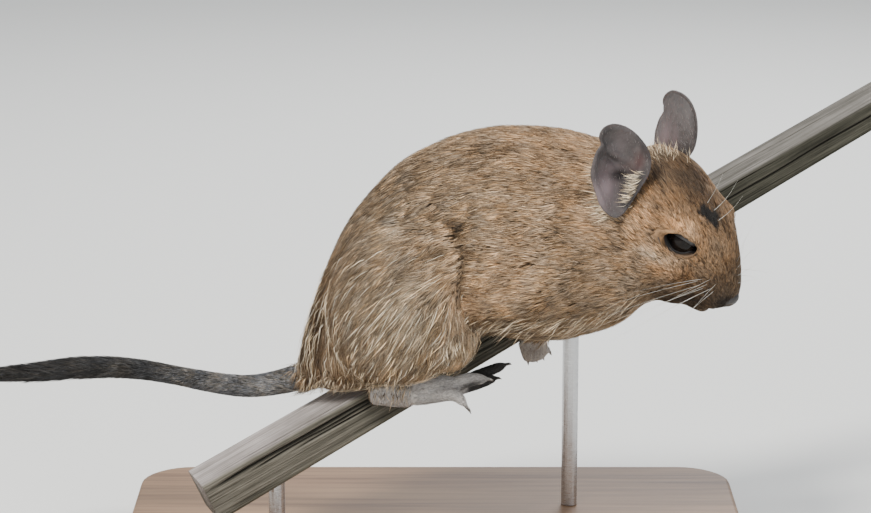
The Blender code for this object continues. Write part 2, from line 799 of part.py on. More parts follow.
def stand_rod(name, x, lath_cutter, group, tools):
    """A straight rod from the base up to the underside of the perch."""
    y = (x - LATH_POINT.x) * math.tan(math.radians(LATH_TURN))
    bottom = BASE_SIZE[2] + GAP
    slope = math.tan(math.radians(LATH_PITCH)) / math.cos(math.radians(LATH_TURN))
    top = LATH_POINT.z + slope * (x - LATH_POINT.x) - LATH_THICKNESS / 3
    bm = bmesh.new()
    radius = ROD_RADIUS * MM
    height = (top - bottom) * MM
    bmesh.ops.create_cone(
        bm, cap_ends=True, segments=ROD_SIDES, radius1=radius, radius2=radius, depth=height
    )
    bmesh.ops.translate(bm, vec=(x * MM, y * MM, bottom * MM + height / 2), verts=bm.verts)
    rod = object_from_bmesh(name, bm, group)
    return cut(rod, lath_cutter)


def paint(items, material):
    for item in items:
        item.data.materials.clear()
        item.data.materials.append(material)
        item.data.shade_smooth()
        item.data.set_sharp_from_angle(angle=math.radians(40))


def main():
    clear_scene()
    parts = make_collection("degu")
    tools = make_collection("cutters", hidden=True)
    perch = lath("perch_lath", parts)
    lath_cutter = lath("lath_cutter", tools, GAP)

    body = whole_body(tools)
    cut(body, lath_cutter)
    point, normal = parting(HEAD_CUT)
    ahead = half_space("ahead", point - normal * GAP / 2, normal, tools)
    behind = half_space("behind", point + normal * GAP / 2, -normal, tools)
    head = copy_object(body, "head", parts)
    thinned(cut(head, behind), HEAD_TRIANGLES)
    rear = copy_object(body, "rear", tools)
    thinned(cut(rear, ahead), BODY_TRIANGLES)
    drop(ahead)
    drop(behind)
    thinned(body, HEAD_TRIANGLES + BODY_TRIANGLES)
    body_cutter = copy_object(body, "body_cutter", tools, 1.5 * GAP)
    head_cutter = copy_object(head, "head_cutter", tools, GAP)

    point, normal = parting(NECK_CUT)
    ahead = half_space("ahead", point - normal * GAP / 2, normal, tools)
    behind = half_space("behind", point + normal * GAP / 2, -normal, tools)
    neck = cut(copy_object(rear, "neck", parts), behind)
    torso = cut(copy_object(rear, "torso", parts), ahead)
    drop(ahead)
    drop(behind)
    drop(rear)
    limbs = []
    for side, word in ((-1, "right"), (1, "left")):
        for name, region in (("thigh", THIGH_REGION), ("upper_arm", ARM_REGION)):
            inside = side_mass("inside", region, side, tools)
            outside = side_mass("outside", region, side, tools, GAP)
            piece = copy_object(torso, f"{name}_{word}", parts)
            keep_largest(boolean(piece, inside, "INTERSECT"))
            limbs.append(piece)
            cut(torso, outside)
            drop(inside)
            drop(outside)

    ears = [ear("ear_right", RIGHT_EAR, -1, parts), ear("ear_left", LEFT_EAR, 1, parts)]
    for item in ears:
        cut(item, head_cutter, body_cutter)
    eyes = []
    for side, word in ((-1, "right"), (1, "left")):
        middle = lids(head, side, tools)
        eyes.append(eye(f"eye_{word}", middle, parts))
    nose(head, tools)
    mouth(head, tools)

    feet = [
        extremity("hind_foot_right", RIGHT_SOLE, RIGHT_TOES, FOOT_TRIANGLES, parts, tools),
        extremity(
            "hind_foot_left", on_lath(LEFT_SOLE), [on_lath(toe) for toe in LEFT_TOES], FOOT_TRIANGLES, parts, tools
        ),
        extremity("forepaw_right", RIGHT_FOREARM, RIGHT_FINGERS, PAW_TRIANGLES, parts, tools),
        extremity(
            "forepaw_left", on_lath(LEFT_FOREARM), [on_lath(toe) for toe in LEFT_FINGERS], PAW_TRIANGLES, parts, tools
        ),
    ]
    for item in feet:
        cut(item, body_cutter, lath_cutter)
    tails = tail(("tail_base", "tail_middle", "tail_brush"), body_cutter, parts, tools)

    base = stand_base("stand_base", parts)
    rods = [stand_rod(name, x, lath_cutter, parts, tools) for name, x in ROD_PLACES.items()]
    for item in list(tools.objects):
        drop(item)

    paint([head, neck, torso, *limbs], make_material("agouti_fur", (0.30, 0.21, 0.13), 0.9))
    paint(ears, make_material("ear_skin", (0.16, 0.11, 0.11), 0.6))
    paint(eyes, make_material("eye", (0.01, 0.01, 0.01), 0.05))
    paint(feet, make_material("grey_fur", (0.36, 0.34, 0.32), 0.85))
    paint(tails, make_material("tail_fur", (0.07, 0.07, 0.075), 0.85))
    paint([perch], make_material("weathered_wood", (0.33, 0.31, 0.27), 0.85))
    paint([base], make_material("base_wood", (0.20, 0.16, 0.12), 0.5))
    paint(rods, make_material("rod_steel", (0.45, 0.45, 0.46), 0.3, 1.0))


main()
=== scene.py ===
import json
import math

import bpy
import numpy as np
from mathutils import Matrix, Vector
from mathutils.bvhtree import BVHTree
from mathutils.kdtree import KDTree

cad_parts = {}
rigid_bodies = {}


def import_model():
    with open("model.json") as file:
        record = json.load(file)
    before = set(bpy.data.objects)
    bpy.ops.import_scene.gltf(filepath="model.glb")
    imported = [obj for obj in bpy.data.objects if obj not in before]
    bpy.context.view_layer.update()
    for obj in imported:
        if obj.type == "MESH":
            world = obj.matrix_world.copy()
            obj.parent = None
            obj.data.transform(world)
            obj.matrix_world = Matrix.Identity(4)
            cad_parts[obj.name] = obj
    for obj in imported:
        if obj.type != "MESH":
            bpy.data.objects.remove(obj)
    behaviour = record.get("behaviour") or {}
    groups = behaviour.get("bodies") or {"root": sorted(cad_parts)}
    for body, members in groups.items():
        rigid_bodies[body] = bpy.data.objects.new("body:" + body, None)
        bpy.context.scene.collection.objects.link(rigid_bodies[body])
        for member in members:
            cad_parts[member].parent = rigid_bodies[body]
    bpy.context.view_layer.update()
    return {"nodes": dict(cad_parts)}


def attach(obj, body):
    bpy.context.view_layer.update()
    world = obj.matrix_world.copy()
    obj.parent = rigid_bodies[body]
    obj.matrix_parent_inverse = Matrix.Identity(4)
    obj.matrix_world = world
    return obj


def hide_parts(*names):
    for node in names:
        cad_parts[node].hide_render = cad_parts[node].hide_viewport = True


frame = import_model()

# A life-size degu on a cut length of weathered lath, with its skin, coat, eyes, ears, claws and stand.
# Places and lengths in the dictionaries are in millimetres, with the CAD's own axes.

mm = 0.001
print("degu: frame loaded")


# Small helpers

def deselectAll():
    for item in list(bpy.context.selected_objects):
        item.select_set(False)


def selectOnly(item):
    deselectAll()
    item.select_set(True)
    bpy.context.view_layer.objects.active = item


def applyPlace(item):
    selectOnly(item)
    bpy.ops.object.transform_apply(location=True, rotation=True, scale=True)


def useModifier(item, kind, **settings):
    selectOnly(item)
    change = item.modifiers.new(kind.lower(), kind)
    for name, value in settings.items():
        setattr(change, name, value)
    bpy.ops.object.modifier_apply(modifier=change.name)


def finishPiece(item, materials, nodes=()):
    item.data.materials.clear()
    for material in materials:
        item.data.materials.append(material)
    if nodes:
        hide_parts(*nodes)
    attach(item, "root")


def copyNodes(name, nodeNames):
    # one merged mesh from copies of CAD nodes
    deselectAll()
    copies = []
    for nodeName in nodeNames:
        node = frame["nodes"][nodeName]
        item = node.copy()
        item.data = node.data.copy()
        for key in list(item.keys()):
            del item[key]
        item.parent = None
        bpy.context.scene.collection.objects.link(item)
        copies.append(item)
    for item in copies:
        item.select_set(True)
    bpy.context.view_layer.objects.active = copies[0]
    if len(copies) > 1:
        bpy.ops.object.join()
    item = bpy.context.view_layer.objects.active
    item.name = name
    item.data.name = name
    bpy.ops.object.mode_set(mode="EDIT")
    bpy.ops.mesh.select_all(action="SELECT")
    bpy.ops.mesh.remove_doubles(threshold=0.00002)
    bpy.ops.object.mode_set(mode="OBJECT")
    return item


def keepMain(item):
    # keep the surface that holds the highest point, and drop loose scraps
    selectOnly(item)
    points = pointsOf(item)
    bpy.ops.object.mode_set(mode="EDIT")
    bpy.ops.mesh.select_all(action="DESELECT")
    bpy.ops.object.mode_set(mode="OBJECT")
    item.data.vertices[int(points[:, 2].argmax())].select = True
    bpy.ops.object.mode_set(mode="EDIT")
    bpy.ops.mesh.select_linked()
    bpy.ops.mesh.select_all(action="INVERT")
    bpy.ops.mesh.delete(type="VERT")
    bpy.ops.object.mode_set(mode="OBJECT")


def pointsOf(item):
    values = np.zeros(len(item.data.vertices) * 3, np.float32)
    item.data.vertices.foreach_get("co", values)
    return values.reshape(-1, 3).astype(float)


def setPoints(item, points):
    item.data.vertices.foreach_set("co", np.asarray(points, np.float32).ravel())
    item.data.update()


def normalsOf(item):
    values = np.zeros(len(item.data.vertices) * 3, np.float32)
    item.data.vertices.foreach_get("normal", values)
    return values.reshape(-1, 3).astype(float)


def trianglesOf(item):
    item.data.calc_loop_triangles()
    values = np.zeros(len(item.data.loop_triangles) * 3, np.int32)
    item.data.loop_triangles.foreach_get("vertices", values)
    return values.reshape(-1, 3)


def edgesOf(item):
    values = np.zeros(len(item.data.edges) * 2, np.int32)
    item.data.edges.foreach_get("vertices", values)
    return values.reshape(-1, 2)


def treeOf(item):
    corners = [tuple(point) for point in pointsOf(item)]
    return BVHTree.FromPolygons(corners, [tuple(face) for face in trianglesOf(item).tolist()])


def unit(values):
    values = np.asarray(values, float)
    length = np.linalg.norm(values, axis=-1, keepdims=True)
    return values / np.maximum(length, 1e-9)


def softStep(low, high, value):
    share = np.clip((value - low) / (high - low), 0, 1)
    return share * share * (3 - 2 * share)


def spreadValue(item, values, rounds):
    # average a value over neighbouring vertices
    edges = edgesOf(item)
    count = np.bincount(edges.ravel(), minlength=len(values)).clip(1)
    for _ in range(rounds):
        total = np.bincount(edges[:, 0], values[edges[:, 1]], len(values))
        total += np.bincount(edges[:, 1], values[edges[:, 0]], len(values))
        values = 0.5 * values + 0.5 * total / count
    return values


def ripple(points, wavelength, seed):
    # smooth noise between about -1 and 1
    draw = np.random.default_rng(seed)
    total = np.zeros(len(points))
    for _ in range(7):
        way = unit(draw.normal(size=3)) * (2 * math.pi / wavelength) * draw.uniform(0.6, 1.5)
        total += np.sin(points @ way + draw.uniform(0, 6.28))
    return total / 3.0


def paintPoints(item, name, values, kind="FLOAT_COLOR"):
    layer = item.data.attributes.new(name, kind, "POINT")
    field = "color" if kind == "FLOAT_COLOR" else "vector"
    layer.data.foreach_set(field, np.asarray(values, np.float32).ravel())


def ringMesh(name, rings, closed=True):
    # skin rings of points one after another, all with the same count
    rings = np.asarray(rings, float)
    rows, sides = rings.shape[:2]
    faces = []
    for row in range(rows - 1):
        for side in range(sides if closed else sides - 1):
            after = (side + 1) % sides
            a, b = row * sides + side, row * sides + after
            faces.append((a, b, b + sides, a + sides))
    mesh = bpy.data.meshes.new(name)
    mesh.from_pydata([tuple(p) for p in rings.reshape(-1, 3)], [], faces)
    item = bpy.data.objects.new(name, mesh)
    bpy.context.scene.collection.objects.link(item)
    return item


def fixNormals(item):
    selectOnly(item)
    bpy.ops.object.mode_set(mode="EDIT")
    bpy.ops.mesh.select_all(action="SELECT")
    bpy.ops.mesh.normals_make_consistent(inside=False)
    bpy.ops.object.mode_set(mode="OBJECT")


def fillEnds(item):
    selectOnly(item)
    bpy.ops.object.mode_set(mode="EDIT")
    bpy.ops.mesh.select_mode(type="VERT")
    bpy.ops.mesh.select_all(action="DESELECT")
    bpy.ops.mesh.select_non_manifold()
    bpy.ops.mesh.fill_holes(sides=0)
    bpy.ops.object.mode_set(mode="OBJECT")


def taperedTube(name, line, radii, sides=3, smooth=True):
    # a curve with a radius at each point, made a mesh with closed ends
    curve = bpy.data.curves.new(name, "CURVE")
    curve.dimensions = "3D"
    curve.bevel_depth = 1.0
    curve.bevel_resolution = max(sides // 4, 0)
    curve.use_fill_caps = True
    spline = curve.splines.new("NURBS" if smooth else "POLY")
    spline.points.add(len(line) - 1)
    for point, place, radius in zip(spline.points, line, radii):
        point.co = (*place, 1.0)
        point.radius = radius
    if smooth:
        spline.use_endpoint_u = True
        spline.order_u = 4
        spline.resolution_u = 4
    item = bpy.data.objects.new(name, curve)
    bpy.context.scene.collection.objects.link(item)
    selectOnly(item)
    bpy.ops.object.convert(target="MESH")
    item = bpy.context.view_layer.objects.active
    bpy.ops.object.mode_set(mode="EDIT")
    bpy.ops.mesh.select_all(action="SELECT")
    bpy.ops.mesh.remove_doubles(threshold=0.000005)
    bpy.ops.mesh.normals_make_consistent(inside=False)
    bpy.ops.object.mode_set(mode="OBJECT")
    return item


def joinAll(name, items):
    deselectAll()
    for item in items:
        item.select_set(True)
    bpy.context.view_layer.objects.active = items[0]
    if len(items) > 1:
        bpy.ops.object.join()
    item = bpy.context.view_layer.objects.active
    item.name = name
    item.data.name = name
    return item


# Camera, floor and light

view = {
    "target": (0, 0, 98),
    "elevation": 14,
    "distance": 850,
    "frameWidth": 261.3,  # width of the picture at the target
    "frameSize": (871, 513),
    "sensor": 36,
}

lamps = {
    # name: place, size, watts, colour
    "keyLight": ((-380, -560, 980), 360, 19.0, (1.0, 0.98, 0.94)),
    "fillLight": ((760, -760, 420), 640, 3.5, (0.93, 0.96, 1.0)),
    "backLight": ((240, 760, 760), 560, 8.0, (0.97, 0.98, 1.0)),
}


def viewAxes():
    tilt = math.radians(view["elevation"])
    right = np.array((1.0, 0.0, 0.0))
    up = np.array((0.0, math.sin(tilt), math.cos(tilt)))
    towards = np.array((0.0, -math.cos(tilt), math.sin(tilt)))
    return right, up, towards


def cameraPoint():
    return np.array(view["target"]) * mm + viewAxes()[2] * view["distance"] * mm


def pixelRay(pixel):
    # start and direction of the line of sight through a pixel of the picture
    right, up, towards = viewAxes()
    step = view["frameWidth"] * mm / view["frameSize"][0]
    across = (pixel[0] - view["frameSize"][0] / 2) * step
    over = (view["frameSize"][1] / 2 - pixel[1]) * step
    way = right * across + up * over - towards * view["distance"] * mm
    return Vector(cameraPoint()), Vector(unit(way))


def makeCamera():
    data = bpy.data.cameras.new("camera")
    data.sensor_width = view["sensor"]
    data.lens = view["sensor"] * view["distance"] / view["frameWidth"]
    data.clip_start = 0.01
    data.clip_end = 20
    camera = bpy.data.objects.new("camera", data)
    bpy.context.scene.collection.objects.link(camera)
    camera.location = cameraPoint()
    camera.rotation_euler = (math.radians(90 - view["elevation"]), 0, 0)
    bpy.context.scene.camera = camera


def makeLights():
    for name, (place, size, watts, colour) in lamps.items():
        data = bpy.data.lights.new(name, "AREA")
        data.shape = "DISK"
        data.size = size * mm
        data.energy = watts
        data.color = colour
        lamp = bpy.data.objects.new(name, data)
        bpy.context.scene.collection.objects.link(lamp)
        lamp.location = Vector(place) * mm
        aim = Vector(view["target"]) * mm - lamp.location
        lamp.rotation_euler = aim.to_track_quat("-Z", "Y").to_euler()
    world = bpy.data.worlds.new("softRoom")
    world.use_nodes = True
    world.node_tree.nodes["Background"].inputs["Color"].default_value = (0.90, 0.94, 1.0, 1)
    world.node_tree.nodes["Background"].inputs["Strength"].default_value = 0.56
    bpy.context.scene.world = world


def makeFloor():
    deselectAll()
    bpy.ops.mesh.primitive_plane_add(size=12, location=(0, 0, 0))
    floor = bpy.context.view_layer.objects.active
    floor.name = "floor"
    applyPlace(floor)
    floor.data.materials.append(plainMaterial("paleFloor", (0.80, 0.80, 0.77), 0.9))


# Node helpers for materials

def newMaterial(name):
    material = bpy.data.materials.new(name)
    material.use_nodes = True
    tree = material.node_tree
    return material, tree, tree.nodes["Principled BSDF"]


def addNode(tree, kind, **settings):
    node = tree.nodes.new("ShaderNode" + kind)
    for name, value in settings.items():
        if hasattr(node, name):
            setattr(node, name, value)
        else:
            node.inputs[name].default_value = value
    return node


def plainMaterial(name, colour, roughness):
    material, _, shader = newMaterial(name)
    shader.inputs["Base Color"].default_value = (*colour, 1)
    shader.inputs["Roughness"].default_value = roughness
    return material


def rampNode(tree, source, stops):
    ramp = tree.nodes.new("ShaderNodeValToRGB")
    band = ramp.color_ramp
    while len(band.elements) < len(stops):
        band.elements.new(0.5)
    for element, (place, colour) in zip(band.elements, stops):
        element.position = place
        element.color = (*colour, 1) if len(colour) == 3 else colour
    tree.links.new(source, ramp.inputs["Fac"])
    return ramp.outputs["Color"]


def mixColours(tree, factor, first, second, kind="MIX"):
    mix = tree.nodes.new("ShaderNodeMix")
    mix.data_type = "RGBA"
    mix.blend_type = kind
    for socket, value in ((mix.inputs[0], factor), (mix.inputs[6], first), (mix.inputs[7], second)):
        if isinstance(value, bpy.types.NodeSocket):
            tree.links.new(value, socket)
        elif isinstance(value, tuple):
            socket.default_value = (*value, 1)
        else:
            socket.default_value = value
    return mix.outputs[2]


def mathNode(tree, operation, first, second=0.5):
    node = tree.nodes.new("ShaderNodeMath")
    node.operation = operation
    for socket, value in ((node.inputs[0], first), (node.inputs[1], second)):
        if isinstance(value, bpy.types.NodeSocket):
            tree.links.new(value, socket)
        else:
            socket.default_value = value
    return node.outputs[0]


def weighNodes(tree, first, firstShare, second, secondShare):
    firstPart = mathNode(tree, "MULTIPLY", first, firstShare)
    return mathNode(tree, "ADD", firstPart, mathNode(tree, "MULTIPLY", second, secondShare))


def objectNoise(tree, scale, detail, **settings):
    # noise that stays with the piece
    where = tree.nodes.new("ShaderNodeTexCoord")
    noise = addNode(tree, "TexNoise", Scale=scale, Detail=detail, **settings)
    tree.links.new(where.outputs["Object"], noise.inputs["Vector"])
    return noise.outputs["Fac"]


def addBump(tree, shader, height, strength, distance):
    bump = addNode(tree, "Bump", Strength=strength, Distance=distance)
    tree.links.new(height, bump.inputs["Height"])
    tree.links.new(bump.outputs["Normal"], shader.inputs["Normal"])


def splitVector(tree, name):
    # the three parts of a point attribute
    source = addNode(tree, "Attribute", attribute_name=name)
    parts = tree.nodes.new("ShaderNodeSeparateXYZ")
    tree.links.new(source.outputs["Vector"], parts.inputs["Vector"])
    return parts.outputs


def stretchedNoise(tree, vector, scale, **settings):
    stretch = addNode(tree, "Mapping")
    stretch.inputs["Scale"].default_value = scale
    tree.links.new(vector, stretch.inputs["Vector"])
    noise = addNode(tree, "TexNoise", Scale=1.0, **settings)
    tree.links.new(stretch.outputs["Vector"], noise.inputs["Vector"])
    return noise.outputs["Fac"]


def groupTree(name, inputs, outputs):
    tree = bpy.data.node_groups.new(name, "ShaderNodeTree")
    for label, kind in inputs:
        tree.interface.new_socket(name=label, in_out="INPUT", socket_type=kind)
    for label, kind in outputs:
        tree.interface.new_socket(name=label, in_out="OUTPUT", socket_type=kind)
    return tree, tree.nodes.new("NodeGroupInput"), tree.nodes.new("NodeGroupOutput")


# Coat colours: the same group colours the skin and every tuft

coatLook = {
    "root": (0.030, 0.024, 0.020),
    "shaft": (0.120, 0.084, 0.056),
    "band": (0.56, 0.41, 0.27),
    "tip": (0.30, 0.205, 0.130),
    "cream": (0.98, 0.84, 0.63),
    "rufous": (0.76, 0.41, 0.18),
    "umber": (0.245, 0.150, 0.078),
    "grey": (0.86, 0.82, 0.79),
    # near black for dark fur, and for painted shade in creases, under the cheek, at the mouth and under the foot
    "dark": (0.014, 0.012, 0.011),
    "tail": (0.26, 0.26, 0.265),
    "roughness": 0.62,
}


def makeCoatGroup():
    tree, source, result = groupTree(
        "coatColour",
        (("Along", "NodeSocketFloat"), ("Vary", "NodeSocketFloat"), ("Hue", "NodeSocketFloat"),
         ("Marks", "NodeSocketColor"), ("Grey", "NodeSocketFloat"), ("Tail", "NodeSocketFloat"),
         ("Umber", "NodeSocketFloat")),
        (("Color", "NodeSocketColor"),),
    )
    along = source.outputs["Along"]
    bands = rampNode(tree, along, (
        (0.0, coatLook["root"]), (0.34, coatLook["shaft"]), (0.58, coatLook["band"]),
        (0.86, coatLook["band"]), (1.0, coatLook["tip"]),
    ))
    split = tree.nodes.new("ShaderNodeSeparateColor")
    tree.links.new(source.outputs["Marks"], split.inputs["Color"])
    shade = rampNode(tree, along, ((0.0, (0.30, 0.30, 0.30)), (0.45, (0.85, 0.85, 0.85)), (1.0, (1, 1, 1))))
    colour = bands
    for socket, name in ((source.outputs["Umber"], "umber"), (split.outputs["Red"], "cream"),
                         (split.outputs["Green"], "rufous"), (source.outputs["Grey"], "grey"),
                         (source.outputs["Tail"], "tail")):
        tint = mixColours(tree, 1.0, coatLook[name], shade, "MULTIPLY")
        colour = mixColours(tree, socket, colour, tint)
    hue = rampNode(tree, source.outputs["Hue"], (
        (0.0, (0.90, 0.97, 1.10)), (0.5, (1, 1, 1)), (1.0, (1.16, 1.0, 0.80)),
    ))
    colour = mixColours(tree, 1.0, colour, hue, "MULTIPLY")
    # the dark marks: dark fur, and painted shade
    colour = mixColours(tree, split.outputs["Blue"], colour, coatLook["dark"])
    value = rampNode(tree, source.outputs["Vary"], (
        (0.0, (0.12, 0.115, 0.11)), (0.22, (0.27, 0.26, 0.25)), (0.5, (0.70, 0.69, 0.67)),
        (0.78, (1.0, 0.98, 0.95)), (1.0, (1.75, 1.70, 1.60)),
    ))
    colour = mixColours(tree, 1.0, colour, value, "MULTIPLY")
    tree.links.new(colour, result.inputs["Color"])
    return tree


def makeCoatMaterial(name, group, onSkin=False):
    material, tree, shader = newMaterial(name)
    body = tree.nodes.new("ShaderNodeGroup")
    body.node_tree = group
    marks = addNode(tree, "Attribute", attribute_name="marks")
    tree.links.new(marks.outputs["Color"], body.inputs["Marks"])
    for part, socket in zip(splitVector(tree, "extra"), ("Grey", "Tail", "Umber")):
        tree.links.new(part, body.inputs[socket])
    if onSkin:
        streaks = objectNoise(tree, 900.0, 3.0, Roughness=0.6)
        body.inputs["Along"].default_value = 0.40
        body.inputs["Hue"].default_value = 0.5
        tree.links.new(streaks, body.inputs["Vary"])
        addBump(tree, shader, streaks, 0.5, 0.0003)
    else:
        for part, socket in zip(splitVector(tree, "hair"), ("Along", "Vary", "Hue")):
            tree.links.new(part, body.inputs[socket])
    tree.links.new(body.outputs["Color"], shader.inputs["Base Color"])
    shader.inputs["Roughness"].default_value = coatLook["roughness"]
    shader.inputs["Specular IOR Level"].default_value = 0.28
    return material


# The head's own frame

head = {
    "middle": (76.0, -14.0, 107.5),
    "forward": (0.47, -0.213, -0.856),
    "left": (0.616, 0.772, 0.146),
    "eyeFromNose": 23.0,
}


def headAxes():
    forward = unit(head["forward"])
    left = np.array(head["left"]) - forward * np.dot(head["left"], forward)
    left = unit(left)
    return forward, left, unit(np.cross(forward, left))


def headPoint(behindNose, left, up):
    forward, side, over = headAxes()
    return (np.array(head["middle"]) + forward * (head["eyeFromNose"] - behindNose) + side * left + over * up) * mm


def headWay(forward, left, up):
    axes = headAxes()
    return unit(axes[0] * forward + axes[1] * left + axes[2] * up)


# Skin: one surface through all nodes of flesh, drawn in by the coat's depth

skinLook = {
    "gapFill": 0.17,
    "voxel": 0.56,
    "softening": 4,
    "triangles": 188000,
}

coatDepth = {
    "head": 0.75, "neck": 1.5, "torso": 1.7, "thigh_right": 1.7, "thigh_left": 1.7,
    "upper_arm_right": 1.4, "upper_arm_left": 1.4, "forepaw_right": 0.2, "forepaw_left": 0.2,
    "hind_foot_right": 0.18, "hind_foot_left": 0.18, "tail": 0.05,
}

tailLook = {
    # middle line and radius of the tail without its hair
    "line": ((-36, 0, 62, 4.2), (-42, 0, 60, 3.8), (-50, 0, 58, 3.3), (-58.5, 0, 57, 3.1), (-72.5, 0, 59.5, 2.8),
             (-88, 0, 63, 2.4), (-103, 0, 64, 1.9), (-118.5, 0, 62, 1.5), (-130, 0, 61, 1.0), (-135, 0, 61, 0.5)),
    "brushFrom": -88.0,
}


creases = (
    # line in the picture, depth and width in millimetres, strength of the painted shade along it
    (((451, 224), (457, 236), (464, 250), (463, 270), (461, 290), (464, 306), (472, 323), (480, 336)), 2.6, 2.3, 0.85),
    (((460, 241), (445, 249), (426, 257), (407, 263)), 1.3, 1.5, 0.60),
    (((441, 190), (420, 205), (396, 225)), 0.9, 2.4, 0.25),
)


def creaseLines(tree):
    # points along each crease on the near side, and mirrored on the far side
    lines = []
    for line, depth, width, dark in creases:
        near = []
        for start, end in zip(line, line[1:]):
            steps = max(int(math.dist(start, end) / 2), 1)
            for step in range(steps):
                share = step / steps
                pixel = (start[0] + (end[0] - start[0]) * share, start[1] + (end[1] - start[1]) * share)
                origin, way = pixelRay(pixel)
                hit = tree.ray_cast(origin, way)[0]
                if hit is not None:
                    near.append(np.array(hit))
        far = [point * (1, -1, 1) + (0, -7.0 * mm, 0) for point in near]
        lines.append((np.array(near + far), depth, width, dark))
    return lines


def creaseReach(points, line):
    tree = KDTree(len(line))
    for index, place in enumerate(line):
        tree.insert(Vector(place), index)
    tree.balance()
    return np.array([tree.find(Vector(point))[2] for point in points]) / mm


def lidReach(points, side):
    # below 1 inside the dark rim of an eye
    gaze, longWay, shortWay = eyeAxes(side)
    shortWay = shortWay * -side
    outer = lidLines()[1]
    middle = (outer.max(0) + outer.min(0)) / 2
    half = (outer.max(0) - outer.min(0)) / 2
    away = (points - eyeMiddle(side)) / mm
    flat = np.column_stack([away @ longWay - middle[0], away @ shortWay - middle[1]]) / half
    reach = np.linalg.norm(flat, axis=1)
    reach[away @ gaze < 0] = 9.0
    return reach


def makeSkin():
    fleshNodes = [name for name in coatDepth if name != "tail"]
    parts = sorted(fleshNodes)
    skin = copyNodes("skin", fleshNodes)
    setPoints(skin, pointsOf(skin) + normalsOf(skin) * skinLook["gapFill"] * mm)
    line = [np.array(row[:3]) * mm for row in tailLook["line"]]
    core = taperedTube("tailCore", line, [row[3] * mm for row in tailLook["line"]], 12)
    skin = joinAll("skin", [skin, core])
    useModifier(skin, "REMESH", mode="VOXEL", voxel_size=skinLook["voxel"] * mm, use_smooth_shade=True)
    keepMain(skin)
    useModifier(skin, "SMOOTH", factor=0.5, iterations=skinLook["softening"])

    # which part each vertex belongs to, from the nearest CAD face
    corners, faces, owner = [], [], []
    for index, name in enumerate(parts + ["tail_base", "tail_middle", "tail_brush"]):
        node = frame["nodes"][name]
        start = len(corners)
        corners += [tuple(p) for p in pointsOf(node)]
        tris = trianglesOf(node) + start
        faces += [tuple(t) for t in tris.tolist()]
        owner += [min(index, len(parts))] * len(tris)
    tree = BVHTree.FromPolygons(corners, faces)
    names = parts + ["tail"]
    points = pointsOf(skin)
    nearest = np.array([owner[tree.find_nearest(Vector(p))[2]] for p in points])
    depth = np.array([coatDepth[name] for name in names])[nearest]
    for side in (-1, 1):
        away = np.linalg.norm(points - np.array(eyeMiddle(side)), axis=1) / mm
        depth = depth * softStep(6.4, 9.5, away)
    depth = spreadValue(skin, depth, 40)
    away = np.linalg.norm(points - headPoint(1.0, 0, 0), axis=1) / mm
    depth = depth * (0.15 + 0.85 * softStep(2.0, 9.0, away))
    for side in (-1, 1):
        depth = depth + 1.1 * softStep(1.02, 0.80, lidReach(points, side))
    lines = creaseLines(treeOf(skin))
    for line, carve, width, _ in lines:
        depth = depth + carve * np.exp(-(creaseReach(points, line) / width) ** 2)
    setPoints(skin, points - normalsOf(skin) * depth[:, None] * mm)
    useModifier(skin, "SMOOTH", factor=0.5, iterations=2)
    if len(trianglesOf(skin)) > skinLook["triangles"]:
        useModifier(skin, "DECIMATE", ratio=skinLook["triangles"] / len(trianglesOf(skin)))
    points = pointsOf(skin)
    nearest = np.array([owner[tree.find_nearest(Vector(p))[2]] for p in points])
    skin.data.shade_smooth()
    print("degu: skin", len(trianglesOf(skin)), "triangles")
    return skin, names, nearest, lines


# Eyes and lids

eyeLook = {
    "radius": 4.9,
    "side": 8.5,
    "lift": 3.1,
    "back": 24.6,
    "gaze": (0.26, 0.87, 0.36),
    "slant": 26.0,
    "ringPoints": 72,
    # the opening and the outer edge of the dark rim, as pixels of the near eye
    "opening": ((664.5, 234.5), (670, 234.2), (676, 236.0), (683, 239.6), (689.5, 244.2), (694, 249.4), (697.0, 254.6),
                (690.5, 252.8), (683.5, 252.8), (677, 251.4), (671.5, 247.8), (667.3, 241.5)),
    "rim": ((658.0, 230.5), (667, 230.2), (676, 232.6), (685, 236.8), (693, 242.6), (697.5, 249.0), (700.0, 257.5),
            (691.5, 256.0), (683, 255.8), (675.5, 254.2), (668.5, 250.2), (662.3, 241.5)),
}


def eyeMiddle(side):
    return headPoint(eyeLook["back"], side * eyeLook["side"], eyeLook["lift"])


def eyeAxes(side):
    gaze = headWay(eyeLook["gaze"][0], side * eyeLook["gaze"][1], eyeLook["gaze"][2])
    forward = headAxes()[0]
    forward = unit(forward - gaze * np.dot(forward, gaze))
    turn = Matrix.Rotation(-side * math.radians(eyeLook["slant"]), 3, Vector(gaze))
    longWay = np.array(turn @ Vector(forward))
    return gaze, longWay, np.cross(gaze, longWay)


def makeEyes():
    eyes = []
    for side, word in ((-1, "right"), (1, "left")):
        deselectAll()
        gaze = eyeAxes(side)[0]
        turn = Vector(gaze).to_track_quat("Z", "Y").to_euler()
        bpy.ops.mesh.primitive_uv_sphere_add(
            segments=64, ring_count=32, radius=eyeLook["radius"] * mm, location=eyeMiddle(side), rotation=turn)
        ball = bpy.context.view_layer.objects.active
        ball.name = "eyeball_" + word
        applyPlace(ball)
        # the cornea stands a little proud of the ball
        points = pointsOf(ball)
        out = points - eyeMiddle(side)
        lean = unit(out) @ gaze
        points += out * (0.035 * softStep(0.62, 1.0, lean))[:, None]
        setPoints(ball, points)
        ball.data.shade_smooth()
        eyes.append((ball, "eye_" + word))
    return eyes


def makeEyeMaterial():
    material, tree, shader = newMaterial("wetEye")
    cloud = objectNoise(tree, 600.0, 2.0)
    tree.links.new(rampNode(tree, cloud, ((0.3, (0.004, 0.003, 0.003)), (0.8, (0.014, 0.010, 0.008)))),
                   shader.inputs["Base Color"])
    shader.inputs["Roughness"].default_value = 0.06
    shader.inputs["Specular IOR Level"].default_value = 0.16
    return material


